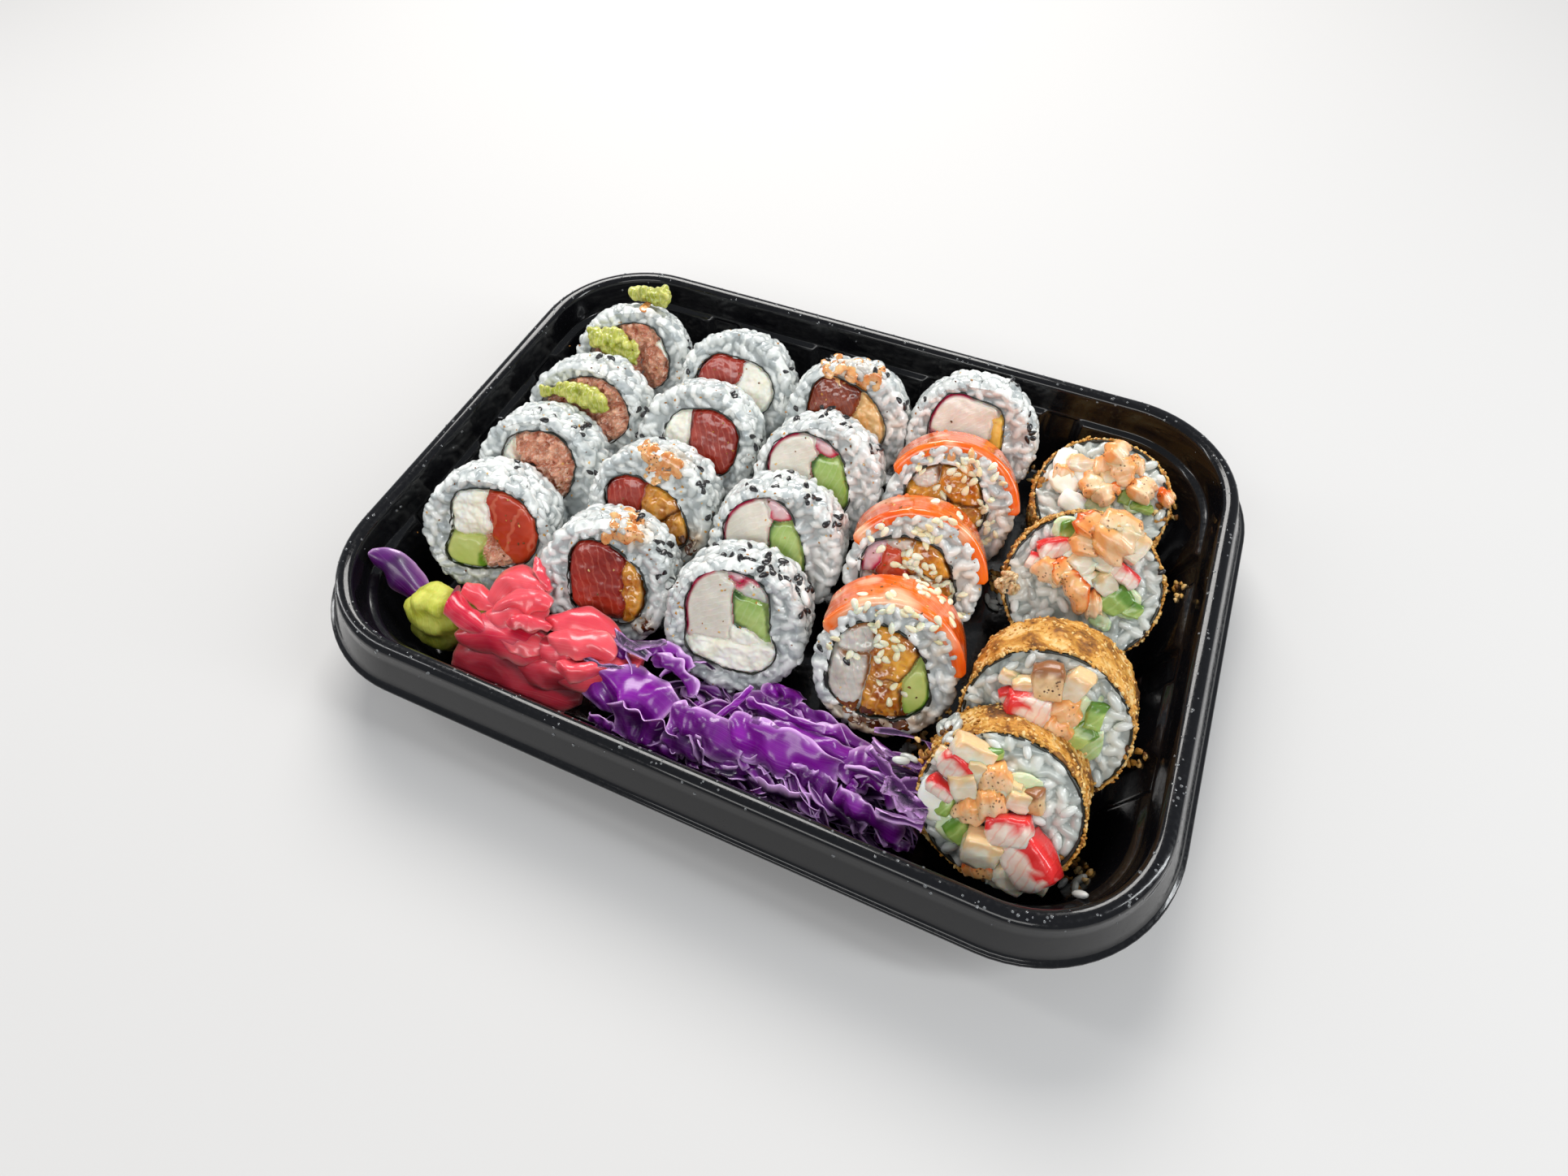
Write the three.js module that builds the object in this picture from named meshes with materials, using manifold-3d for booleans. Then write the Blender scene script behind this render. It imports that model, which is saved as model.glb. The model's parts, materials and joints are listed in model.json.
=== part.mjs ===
// A takeaway tray of sushi: a black thermoformed tray with twenty cut rolls
// in five columns, their toppings, and the garnish along the front wall.
// Millimetres and degrees. +X runs along the tray, +Y to the back, +Z up.
// The origin is under the middle of the tray, on the surface it stands on.

import * as THREE from 'three';
import { mergeVertices } from 'three/addons/utils/BufferGeometryUtils.js';
import Module from 'manifold-3d';

const wasm = await Module();
wasm.setup();

// ---- Driving dimensions ----------------------------------------------------

const MOUTH_HALF_LENGTH = 123;      // inner edge of the rim, half of the long side
const MOUTH_HALF_WIDTH = 87.7;      // inner edge of the rim, half of the short side
const MOUTH_CORNER_RADIUS = 33;
const CORNER_STEPS = 5;
const SHEET = 1.0;                  // wall thickness of the tray
const MOUTH_HEIGHT = 37;            // rim's inner edge above the table
const FLUTES_ON_LONG_SIDE = 4;
const FLUTES_ON_SHORT_SIDE = 3;
const FLUTE_WIDTH = 10;
const FLUTE_CHAMFER = 3;
const FLUTE_DEPTH = 1.9;

const ROLL_LENGTH = 21.5;           // the cut thickness of a rice roll
const ROLL_SEGMENTS = 16;
const SPACE_SEGMENTS = 20;
const RICE_BUMP = 0.9;
const SLICE_THICKNESS = 2.9;        // raw salmon draped over a roll
const CRUST_BUMP = 1.5;
const CRUST_THICKNESS = 2.6;
const GAP = 0.36;                   // air kept between neighbouring pieces
const RED_SEED = 20260;

// ---- Materials --------------------------------------------------------------

const material = (color, roughness, metalness = 0) =>
  new THREE.MeshStandardMaterial({ color, roughness, metalness });

const FINISH = {
  tray: () => material(0x0b0b0c, 0.18),
  rice: () => material(0xe6e8e6, 0.45),
  crust: () => material(0xb98238, 0.75),
  salmon: () => material(0xf08a4a, 0.35),
  mash: () => material(0xb9c060, 0.6),
  chopped: () => material(0xe9c79a, 0.4),
  crumb: () => material(0xd9a25c, 0.8),
  wasabi: () => material(0xb4bd46, 0.7),
  ginger: () => material(0xee6a72, 0.35),
  cabbage: () => material(0x7a1a8c, 0.4),
};

// ---- Geometry helpers ---------------------------------------------------------

const MERGE_TOLERANCE = 1e-4;
const radians = THREE.MathUtils.degToRad;

// A repeatable stream of numbers from 0 to 1.
function seededRandom(seed) {
  let state = seed >>> 0;
  return () => {
    state = (state + 0x6d2b79f5) >>> 0;
    let mixed = Math.imul(state ^ (state >>> 15), 1 | state);
    mixed = (mixed + Math.imul(mixed ^ (mixed >>> 7), 61 | mixed)) ^ mixed;
    return ((mixed ^ (mixed >>> 14)) >>> 0) / 4294967296;
  };
}

// Shared vertices merged, with position as the only attribute left.
function merged(geometry) {
  const bare = geometry.clone();
  for (const name of Object.keys(bare.attributes)) {
    if (name !== 'position') bare.deleteAttribute(name);
  }
  return mergeVertices(bare, MERGE_TOLERANCE);
}

// A boolean solid from a closed geometry, without its zero-width triangles.
function solidOf(geometry) {
  const whole = merged(geometry);
  const corners = whole.index.array;
  const kept = [];
  for (let i = 0; i < corners.length; i += 3) {
    const [a, b, c] = corners.slice(i, i + 3);
    if (a !== b && b !== c && c !== a) kept.push(a, b, c);
  }
  const mesh = new wasm.Mesh({
    numProp: 3,
    vertProperties: Float32Array.from(whole.attributes.position.array),
    triVerts: Uint32Array.from(kept),
  });
  return new wasm.Manifold(mesh);
}

function geometryOf(solid) {
  const mesh = solid.getMesh();
  const geometry = new THREE.BufferGeometry();
  const positions = Float32Array.from(mesh.vertProperties);
  geometry.setAttribute('position', new THREE.BufferAttribute(positions, 3));
  geometry.setIndex([...mesh.triVerts]);
  geometry.computeVertexNormals();
  return geometry;
}

// The largest connected piece: loose scraps that a cut leaves are dropped.
function largestPiece(solid) {
  const pieces = solid.decompose();
  return pieces.reduce((best, piece) => (piece.volume() > best.volume() ? piece : best));
}

const union = (solids) => solids.reduce((sum, solid) => sum.add(solid));

// Moves every vertex of a merged geometry by a random amount.
function roughen(geometry, amount, random) {
  const rough = merged(geometry);
  const places = rough.attributes.position;
  for (let i = 0; i < places.count; i += 1) {
    const shift = [0, 1, 2].map(() => (random() - 0.5) * 2 * amount);
    places.setXYZ(
      i,
      places.getX(i) + shift[0],
      places.getY(i) + shift[1],
      places.getZ(i) + shift[2],
    );
  }
  return rough;
}

// Moves every vertex of a geometry to the place that a function gives it.
function reshape(geometry, placeOf) {
  const shaped = merged(geometry);
  const places = shaped.attributes.position;
  const point = new THREE.Vector3();
  for (let i = 0; i < places.count; i += 1) {
    point.fromBufferAttribute(places, i);
    const { x, y, z } = placeOf(point);
    places.setXYZ(i, x, y, z);
  }
  return shaped;
}

// A lathe whose vertex at column i and profile point j goes where placeOf says.
function lathe(profile, columns, placeOf) {
  const points = profile.map(([radius, height]) => new THREE.Vector2(radius, height));
  const turned = new THREE.LatheGeometry(points, columns);
  const places = turned.attributes.position;
  const seam = columns * points.length;
  for (let i = 0; i < columns; i += 1) {
    for (let j = 0; j < points.length; j += 1) {
      const { x, y, z } = placeOf(i, j, profile[j][0], profile[j][1]);
      places.setXYZ(i * points.length + j, x, y, z);
      if (i === 0) places.setXYZ(seam + j, x, y, z);
    }
  }
  return turned;
}

function namedMesh(name, geometry, finish) {
  const mesh = new THREE.Mesh(geometry, finish());
  mesh.name = name;
  return mesh;
}

// ---- The tray -------------------------------------------------------------------

// Where the flutes lie along a straight side of the wall: pairs of distance
// along the side and how far the wall stands back there, from 0 to 1.
function fluteSteps(length, count) {
  const steps = [];
  for (let i = 0; i < count; i += 1) {
    const middle = (length * (i + 0.5)) / count;
    const half = FLUTE_WIDTH / 2;
    steps.push([middle - half - FLUTE_CHAMFER, 0], [middle - half, 1]);
    steps.push([middle + half, 1], [middle + half + FLUTE_CHAMFER, 0]);
  }
  return steps;
}

// The rim's inner edge, counter-clockwise from the right side, as columns of
// place, outward direction and flute depth.
function mouthColumns() {
  const straightX = MOUTH_HALF_LENGTH - MOUTH_CORNER_RADIUS;
  const straightY = MOUTH_HALF_WIDTH - MOUTH_CORNER_RADIUS;
  const columns = [];
  for (let side = 0; side < 4; side += 1) {
    const onShortSide = side % 2 === 0;
    const length = 2 * (onShortSide ? straightY : straightX);
    const out = radians(90 * side);
    const outward = new THREE.Vector2(Math.cos(out), Math.sin(out));
    const along = new THREE.Vector2(-outward.y, outward.x);
    const reach = onShortSide ? MOUTH_HALF_LENGTH : MOUTH_HALF_WIDTH;
    const flutes = fluteSteps(length, onShortSide ? FLUTES_ON_SHORT_SIDE : FLUTES_ON_LONG_SIDE);
    for (const [distance, depth] of flutes) {
      const place = outward.clone().multiplyScalar(reach);
      place.addScaledVector(along, distance - length / 2);
      columns.push({ place, outward, depth });
    }
    const corner = outward.clone().multiplyScalar(reach - MOUTH_CORNER_RADIUS);
    corner.addScaledVector(along, length / 2);
    for (let step = 0; step <= CORNER_STEPS; step += 1) {
      const angle = out + (Math.PI / 2) * (step / CORNER_STEPS);
      const direction = new THREE.Vector2(Math.cos(angle), Math.sin(angle));
      const place = corner.clone().addScaledVector(direction, MOUTH_CORNER_RADIUS);
      columns.push({ place, outward: direction, depth: 0 });
    }
  }
  return columns;
}

// Profiles are pairs of distance outside the rim's inner edge, and height. A
// third number says how much of the flutes the wall has at that height.
const LEDGE_HEIGHT = 26;
const INSIDE_PROFILE = [
  [11.4, 25.3, 0],
  [8.9, 27.5, 0],
  [5.7, 33.5, 0],
  [4.4, 37.4, 0],
  [2.0, 38.0, 0],
  [0, MOUTH_HEIGHT, 0],
  [-0.9, 27.4, 0],
  [-2.9, LEDGE_HEIGHT, 1],
  [-8.6, 3.6, 0.8],
  [-11.6, SHEET, 0.4],
];
const OUTSIDE_PROFILE = [
  [-11.0, 0, 0.4],
  [-7.7, 2.9, 0.8],
  [-2.3, 25.2, 1],
  [0.1, 26.8, 0],
  [1.0, 36.5, 0],
  [3.6, 36.7, 0],
  [4.7, 33.2, 0],
  [8.0, 26.9, 0],
  [11.0, 24.5, 0],
];

// A solid of revolution made to follow the mouth's rounded rectangle.
function followMouth(profile) {
  const columns = mouthColumns();
  const centred = profile.map(([outside, height]) => [MOUTH_HALF_WIDTH + outside, height]);
  const closed = [[0, profile[0][1]], ...centred, [0, profile.at(-1)[1]]];
  return lathe(closed, columns.length, (i, j, radius, height) => {
    if (radius === 0) return new THREE.Vector3(0, 0, height);
    const [outside, , fluted] = profile[j - 1];
    const { place, outward, depth } = columns[i];
    const reach = outside + FLUTE_DEPTH * depth * fluted;
    return new THREE.Vector3(
      place.x + outward.x * reach,
      place.y + outward.y * reach,
      height,
    );
  });
}

function makeTray() {
  const shell = followMouth([...OUTSIDE_PROFILE, ...INSIDE_PROFILE]);
  return namedMesh('tray', geometryOf(solidOf(shell)), FINISH.tray);
}

// The space inside the walls, from just above the floor to above the rim,
// which the garnish is kept within.
function makeBasinSpace() {
  const profile = [
    [-11.6 - GAP, SHEET + GAP, 0],
    [-8.9 - GAP, 3.9, 0],
    [-3.1 - GAP, LEDGE_HEIGHT, 0],
    [-3.1 - GAP, 70, 0],
  ];
  return solidOf(followMouth(profile));
}

// ---- The rolls --------------------------------------------------------------------

// Each roll stands on the floor on its edge and leans back on the one behind.
// x and y are the middle of its cut face, lean is how far the face tilts up
// and turn how far it looks to the right.
const COLUMNS = {
  a: {
    radius: 22.3,
    rolls: [
      { x: -86, y: 45, lean: 36, turn: 25 },
      { x: -88, y: 13, lean: 31, turn: 15 },
      { x: -89.5, y: -15.5, lean: 31, turn: 16 },
      { x: -91, y: -43.5, lean: 33, turn: 18 },
    ],
  },
  b: {
    radius: 22.2,
    rolls: [
      { x: -45, y: 47, lean: 38, turn: 14 },
      { x: -46, y: 17.5, lean: 36, turn: 11 },
      { x: -47, y: -14.5, lean: 36, turn: 12 },
      { x: -45.5, y: -45, lean: 37, turn: 18 },
    ],
  },
  c: {
    radius: 22.8,
    rolls: [
      { x: -1, y: 46, lean: 33, turn: 14 },
      { x: -0.5, y: 17, lean: 34, turn: 10 },
      { x: -2, y: -13.5, lean: 32, turn: 12 },
      { x: -1.5, y: -43.5, lean: 34, turn: 14 },
    ],
  },
  d: {
    radius: 23.3,
    rolls: [
      { x: 41, y: 54, lean: 32, turn: 6 },
      { x: 43, y: 24, lean: 36, turn: 9, slice: true },
      { x: 41.5, y: -6.5, lean: 37, turn: 12, slice: true },
      { x: 44.5, y: -39, lean: 35, turn: 11, slice: true },
    ],
  },
  e: {
    radius: 25,
    rolls: [
      { x: 88, y: 51, lean: 70, turn: -3, radius: 23.8, length: 22, fried: true },
      { x: 89.3, y: 9, lean: 49, turn: -2, length: 24, fried: true },
      { x: 90, y: -39, lean: 33, turn: -2, length: 24, fried: true },
      { x: 85.5, y: -65, lean: 41, turn: -2, radius: 23.8, length: 20, fried: true },
    ],
  },
};

// The rolls with their sizes filled in, and each one's own axes: right is
// across the face, up runs up the face, and out points out of it.
function placeRolls() {
  return Object.entries(COLUMNS).flatMap(([letter, column]) =>
    column.rolls.map((given, row) => {
      const roll = { radius: column.radius, length: ROLL_LENGTH, ...given };
      const lean = radians(roll.lean);
      const turn = radians(roll.turn);
      roll.name = `${letter}${row + 1}`;
      roll.right = new THREE.Vector3(Math.cos(turn), Math.sin(turn), 0);
      roll.out = new THREE.Vector3(
        Math.sin(turn) * Math.cos(lean),
        -Math.cos(turn) * Math.cos(lean),
        Math.sin(lean),
      );
      roll.up = roll.out.clone().cross(roll.right);
      const height = roll.length * Math.sin(lean) + roll.radius * Math.cos(lean);
      roll.face = new THREE.Vector3(roll.x, roll.y, SHEET + GAP + height);
      roll.middle = roll.face.clone().addScaledVector(roll.out, -roll.length / 2);
      roll.matrix = new THREE.Matrix4().makeBasis(roll.right, roll.up, roll.out);
      roll.matrix.setPosition(roll.face);
      roll.cuts = [];
      return roll;
    }),
  );
}

// A plain round bar of a roll's size, a little larger all round, in place.
function rollSpace(roll, extra) {
  const length = roll.length + 2 * extra;
  const reach = (roll.radius + extra) / Math.cos(Math.PI / SPACE_SEGMENTS);
  const bar = new THREE.CylinderGeometry(reach, reach, length, SPACE_SEGMENTS);
  bar.rotateX(Math.PI / 2);
  bar.translate(0, 0, -roll.length / 2);
  bar.applyMatrix4(roll.matrix);
  return solidOf(bar);
}

// How far a solid reaches along a direction, as [least, most].
function reachAlong(solid, direction) {
  const { vertProperties } = solid.getMesh();
  let least = Infinity;
  let most = -Infinity;
  for (let i = 0; i < vertProperties.length; i += 3) {
    const along =
      vertProperties[i] * direction.x +
      vertProperties[i + 1] * direction.y +
      vertProperties[i + 2] * direction.z;
    least = Math.min(least, along);
    most = Math.max(most, along);
  }
  return [least, most];
}

// Rolls that press on each other flatten. One that leans on the cut face of the
// roll behind it loses what would reach through that face. Two side by side are
// both cut at the plane through their overlap.
function pressTogether(first, second) {
  const between = first.middle.clone().sub(second.middle);
  if (between.length() > first.radius + second.radius + ROLL_LENGTH) return;
  const overlap = rollSpace(first, GAP).intersect(rollSpace(second, GAP));
  if (overlap.volume() < 0.01) return;
  const axis = first.out.clone().add(second.out).normalize();
  const sideways = between.clone().addScaledVector(axis, -between.dot(axis)).normalize();
  const [nearest, farthest] = reachAlong(overlap, sideways);
  const [deepest, shallowest] = reachAlong(overlap, first.out);
  if (shallowest - deepest < farthest - nearest) {
    second.cuts.push({ normal: first.out, offset: first.out.dot(first.face) + GAP });
    return;
  }
  const middle = (nearest + farthest) / 2;
  first.cuts.push({ normal: sideways, offset: middle + GAP / 2 });
  second.cuts.push({ normal: sideways.clone().negate(), offset: -middle + GAP / 2 });
}

// Cuts a solid, given in the roll's own axes, where the roll's neighbours press.
function cutByNeighbours(solid, roll) {
  return roll.cuts.reduce((rest, cut) => {
    const normal = new THREE.Vector3(
      cut.normal.dot(roll.right),
      cut.normal.dot(roll.up),
      cut.normal.dot(roll.out),
    );
    const offset = cut.offset - cut.normal.dot(roll.face);
    return rest.trimByPlane(normal.toArray(), offset);
  }, solid);
}

// The face's bands, from the middle out: filling, the seaweed's groove, rice.
function riceProfile(roll, radius) {
  return [
    [0, -roll.length],
    [radius - 1.8, -roll.length],
    [radius, -roll.length + 2.6],
    [radius, -roll.length * 0.5],
    [radius - 0.3, -2.2],
    [radius - 2.6, -0.2],
    [radius * 0.6, -1.4],
    [radius * 0.52, -0.1],
    [0, 0],
  ];
}

// A fried roll's bands: filling, rice, the seaweed's groove, the crust's edge.
function crustProfile(roll, radius) {
  return [
    [0, -roll.length],
    [radius - 1.8, -roll.length],
    [radius, -roll.length + 2],
    [radius, -roll.length * 0.5],
    [radius - 0.3, -0.8],
    [radius - 1.6, 0],
    [radius - CRUST_THICKNESS, -0.5],
    [radius - CRUST_THICKNESS - 0.6, -1.9],
    [radius * 0.55, -0.9],
    [0, -0.5],
  ];
}

// A roll in its own axes: its cut face at z = 0, its back at z = -length. The
// grains that make up its side and face are bumps of their size.
function rollSolid(roll, random) {
  const radius = roll.slice ? roll.radius - SLICE_THICKNESS : roll.radius;
  const profile = roll.fried ? crustProfile(roll, radius) : riceProfile(roll, radius);
  const bump = roll.fried ? CRUST_BUMP : RICE_BUMP;
  const squareness = 2.15 + 0.35 * random();
  const sag = roll.slice ? SLICE_THICKNESS : 0;
  const shape = lathe(profile, ROLL_SEGMENTS, (i, j, reach, height) => {
    if (reach === 0) return new THREE.Vector3(0, -sag / 2, height);
    const angle = (2 * Math.PI * (i + 0.5 * (j % 2))) / ROLL_SEGMENTS;
    const cos = Math.cos(angle);
    const sin = Math.sin(angle);
    const square = (Math.abs(cos) ** squareness + Math.abs(sin) ** squareness) ** (-1 / squareness);
    const nearSide = reach > radius - 1;
    const inward = nearSide ? bump * random() : 0.3 * bump * random();
    const out = Math.min(0.98 * reach * square, reach) - inward;
    const depth = height - 0.35 * random();
    return new THREE.Vector3(out * cos, out * sin - sag / 2, depth);
  });
  return solidOf(shape);
}

// A solid made in a roll's own axes, moved to where the roll is.
function inPlace(solid, roll) {
  return solid.transform(roll.matrix.elements);
}

// ---- Small toppings fused to the rolls ---------------------------------------------

const SEED_LENGTH = 3.4;
const SEED_WIDTH = 1.9;

// A sesame seed lying on a surface: where it is, which way it points.
function seedSolid(place, along, normal) {
  const seed = new THREE.OctahedronGeometry(1, 0);
  seed.scale(SEED_LENGTH / 2, SEED_WIDTH / 2, SEED_WIDTH / 2.4);
  const side = normal.clone().cross(along).normalize();
  const tangent = side.clone().cross(normal);
  const basis = new THREE.Matrix4().makeBasis(tangent, side, normal);
  basis.setPosition(place);
  seed.applyMatrix4(basis);
  return solidOf(seed);
}

// Seeds over the top of a side, between two angles from straight up.
function seedsOverTop(roll, radius, count, random, [from, to], drop = 0) {
  return Array.from({ length: count }, (_, i) => {
    const spread = from + ((to - from) * (i + 0.2 + 0.6 * random())) / count;
    const angle = radians(90 - spread);
    const depth = -(0.14 + 0.36 * ((i * 0.618) % 1)) * roll.length;
    const normal = new THREE.Vector3(Math.cos(angle), Math.sin(angle), 0);
    const along = new THREE.Vector3(random() - 0.5, random() - 0.5, random());
    return seedSolid(normal.clone().multiplyScalar(radius).setZ(depth).setY(
      radius * Math.sin(angle) - drop), along, normal);
  });
}

// Seeds scattered over the filling of a cut face.
function seedsOnFace(radius, count, random) {
  const normal = new THREE.Vector3(0, 0, 1);
  return Array.from({ length: count }, (_, i) => {
    const angle = i * 2.4;
    const reach = radius * 0.5 * Math.sqrt((i + 0.5) / count);
    const along = new THREE.Vector3(random() - 0.5, random() - 0.5, 0);
    const place = new THREE.Vector3(reach * Math.cos(angle), reach * Math.sin(angle), 0.15);
    return seedSolid(place, along, normal);
  });
}

const SEEDED = {
  c4: (roll, random) => seedsOverTop(roll, roll.radius - 0.3, 5, random, [5, 70]),
  d1: (roll, random) => seedsOverTop(roll, roll.radius - 0.3, 5, random, [-55, 80]),
  a3: (roll, random) => seedsOverTop(roll, roll.radius - 0.3, 3, random, [10, 60]),
  d2: (roll, random) => seedsOnFace(roll.radius, 4, random),
  d3: (roll, random) => seedsOnFace(roll.radius, 6, random),
  d4: (roll, random) => seedsOnFace(roll.radius, 5, random),
};

function makeRoll(roll, random) {
  const bare = rollSolid(roll, random);
  const seeds = SEEDED[roll.name] ? SEEDED[roll.name](roll, random) : [];
  const solid = largestPiece(cutByNeighbours(union([bare, ...seeds]), roll));
  const mesh = namedMesh(
    `roll_${roll.name}`,
    geometryOf(solid),
    roll.fried ? FINISH.crust : FINISH.rice,
  );
  return placed(mesh, roll);
}

// Puts a mesh that was made in a roll's own axes where the roll is.
function placed(mesh, roll) {
  mesh.position.copy(roll.face);
  mesh.quaternion.setFromRotationMatrix(new THREE.Matrix4().extractRotation(roll.matrix));
  return mesh;
}

// ---- Salmon slices draped over rolls D2 to D4 ------------------------------------------

const SLICE_FROM = 8;               // where the slice starts, degrees from the right
const SLICE_TO = 152;

function makeSalmonSlice(roll, random) {
  const inner = roll.radius - SLICE_THICKNESS + 0.2 + GAP;
  const outer = roll.radius;
  const band = new THREE.Shape();
  band.absarc(0, 0, outer, radians(SLICE_FROM), radians(SLICE_TO), false);
  band.absarc(0, 0, inner, radians(SLICE_TO + 3), radians(SLICE_FROM - 3), true);
  const length = roll.length - 1.2;
  const slab = new THREE.ExtrudeGeometry(band, {
    depth: length,
    steps: 2,
    curveSegments: 8,
    bevelEnabled: false,
  });
  slab.translate(0, 0, -length - 0.4);
  const draped = reshape(slab, (point) => {
    const angle = Math.atan2(point.y, point.x);
    const away = Math.hypot(point.x, point.y) - inner;
    const ripple = 0.5 * Math.sin(5 * angle + point.z / 3);
    const reach = inner + away * (0.85 - 0.15 * ripple);
    const edge = 1.4 * Math.sin(3 * angle + 0.4) * Math.min(1, Math.abs(point.z) / length);
    return new THREE.Vector3(
      reach * Math.cos(angle),
      reach * Math.sin(angle) - SLICE_THICKNESS / 2 + 0.9,
      point.z - edge,
    );
  });
  const seeds = seedsOverTop(roll, roll.radius - 0.4, 3, random, [-20, 55], 0.25);
  const solid = largestPiece(cutByNeighbours(union([solidOf(draped), ...seeds]), roll));
  return placed(namedMesh(`salmon_slice_${roll.name}`, geometryOf(solid), FINISH.salmon), roll);
}

// ---- Lumps and chopped toppings that lie on the cut faces ---------------------------------

// A rough-cut cube or ball of seafood.
function chunkSolid(size, place, random, round) {
  const shape = round
    ? new THREE.IcosahedronGeometry(size * 0.6, 0)
    : new THREE.BoxGeometry(size, size * 0.85, size * 0.8);
  const rough = roughen(shape, size * 0.09, random);
  rough.rotateX(random() * Math.PI);
  rough.rotateZ(random() * Math.PI);
  rough.translate(place.x, place.y, place.z);
  return solidOf(rough);
}

// Chopped shrimp and crab heaped on a fried roll's face: across and up are the
// heap's middle on the face, reachX and reachY its half sizes.
const HEAPS = {
  e1: { across: 3, up: 9, reachX: 12, reachY: 9, count: 6, size: 9.5, layers: 2 },
  e2: { across: -2, up: 7, reachX: 13, reachY: 13, count: 7, size: 10, layers: 2 },
  e3: { across: -4, up: 7, reachX: 9, reachY: 8, count: 5, size: 8, layers: 1 },
  e4: { across: -1, up: -3, reachX: 14, reachY: 15, count: 8, size: 9, layers: 1 },
};

function makeHeap(roll, clearOf, random) {
  const { across, up, reachX, reachY, count, size, layers } = HEAPS[roll.name];
  const base = new THREE.SphereGeometry(1, 9, 3);
  base.rotateX(Math.PI / 2);
  base.scale(reachX * 0.95, reachY * 0.95, 2.6 + 1.6 * layers);
  base.translate(across, up, 0);
  const chunks = Array.from({ length: count }, (_, i) => {
    const angle = i * 2.4;
    const spread = Math.sqrt((i + 0.3) / count);
    const rise = (layers * 3.2 + 1.2) * (1 - 0.75 * spread * spread);
    const place = new THREE.Vector3(
      across + reachX * spread * Math.cos(angle),
      up + reachY * spread * Math.sin(angle),
      rise,
    );
    return chunkSolid(size * (0.8 + 0.4 * random()), place, random, i % 3 === 0);
  });
  const onFace = union([solidOf(base), ...chunks]).trimByPlane([0, 0, 1], GAP - 0.1);
  const heap = clearOf.reduce((rest, space) => rest.subtract(space), inPlace(onFace, roll));
  return namedMesh(`topping_${roll.name}`, geometryOf(largestPiece(heap)), FINISH.chopped);
}

// Avocado mash in soft lumps on a face: a flattened ball with folds, cut flat
// where it lies on the face.
function makeMash(name, roll, clearOf, size, place, tilt, random) {
  const ball = new THREE.SphereGeometry(1, 10, 5);
  const lump = reshape(ball, (point) => {
    const fold = 1 + 0.16 * Math.sin(5 * point.x + 2.5 * point.y) + 0.14 * (random() - 0.5);
    return new THREE.Vector3(point.x * size.x * fold, point.y * size.y * fold, point.z * size.z * fold);
  });
  lump.rotateZ(radians(tilt));
  lump.translate(place.x, place.y, place.z);
  const onFace = solidOf(lump).trimByPlane([0, 0, 1], GAP - 0.1);
  const free = clearOf.reduce((rest, space) => rest.subtract(space), inPlace(onFace, roll));
  return namedMesh(name, geometryOf(largestPiece(free)), FINISH.mash);
}

// A lump of mash on top of a roll, against its outside.
function makeTopMash(name, roll, basin, size, place, random) {
  const ball = new THREE.SphereGeometry(1, 10, 5);
  const lump = reshape(ball, (point) => {
    const fold = 1 + 0.15 * Math.sin(6 * point.x + 3 * point.z) + 0.12 * (random() - 0.5);
    return new THREE.Vector3(point.x * size.x * fold, point.y * size.y * fold, point.z * size.z * fold);
  });
  lump.translate(place.x, place.y, place.z);
  lump.applyMatrix4(roll.matrix);
  const free = solidOf(lump).subtract(rollSpace(roll, GAP)).intersect(basin);
  return namedMesh(name, geometryOf(largestPiece(free)), FINISH.mash);
}

// ---- Loose pieces beside the rolls ---------------------------------------------------------

const CRUMB = { place: new THREE.Vector3(68.5, 4, 33), size: new THREE.Vector3(10, 9, 14) };
const SHRIMP = { place: new THREE.Vector3(60, -63, 21), size: new THREE.Vector3(11, 10, 9) };

function makeLoosePiece(name, { place, size }, clearOf, basin, finish, random) {
  const rough = roughen(new THREE.IcosahedronGeometry(1, 1), 0.14, random);
  rough.scale(size.x / 2, size.y / 2, size.z / 2);
  rough.translate(place.x, place.y, place.z);
  const free = clearOf.reduce((rest, space) => rest.subtract(space), solidOf(rough));
  return namedMesh(name, geometryOf(largestPiece(free.intersect(basin))), finish);
}

// ---- Garnish along the front wall ------------------------------------------------------------

// A strip or slice: a thin slab that is cut, bent over a curl, twisted and
// rippled, with both faces split into triangles alike.
function sliceSolid(shape) {
  const { length, width, thickness, curl, ripple, waves, taper, place, turn, tip, roll } = shape;
  const { steps = 5, across = 2 } = shape;
  const slab = new THREE.BoxGeometry(length, width, thickness, steps, across, 1);
  const bent = reshape(slab, (point) => {
    const along = point.x / (length / 2);
    const side = point.y / (width / 2);
    const narrowing = 1 - taper * along * along;
    const angle = along * curl;
    const radius = length / 2 / Math.max(curl, 0.01);
    const wave = ripple * Math.sin(waves * along * Math.PI + side) * side;
    const level = point.z + wave;
    return new THREE.Vector3(
      (radius + level) * Math.sin(angle),
      point.y * narrowing,
      (radius + level) * Math.cos(angle) - radius,
    );
  });
  bent.rotateX(radians(roll));
  bent.rotateY(radians(tip));
  bent.rotateZ(radians(turn));
  bent.translate(place.x, place.y, place.z);
  return solidOf(bent);
}

function moundSolid(reach, place, random) {
  const ball = roughen(new THREE.SphereGeometry(1, 11, 5), 0.07, random);
  ball.scale(reach.x, reach.y, reach.z);
  ball.translate(place.x, place.y, place.z);
  return solidOf(ball);
}

const WASABI_MIDDLE = new THREE.Vector3(-94, -68, 15);

function makeWasabi(clearOf, basin, random) {
  const lump = moundSolid(new THREE.Vector3(11, 9, 14.5), WASABI_MIDDLE, random);
  const free = clearOf.reduce((rest, space) => rest.subtract(space), lump);
  return namedMesh('wasabi', geometryOf(largestPiece(free.intersect(basin))), FINISH.wasabi);
}

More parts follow.
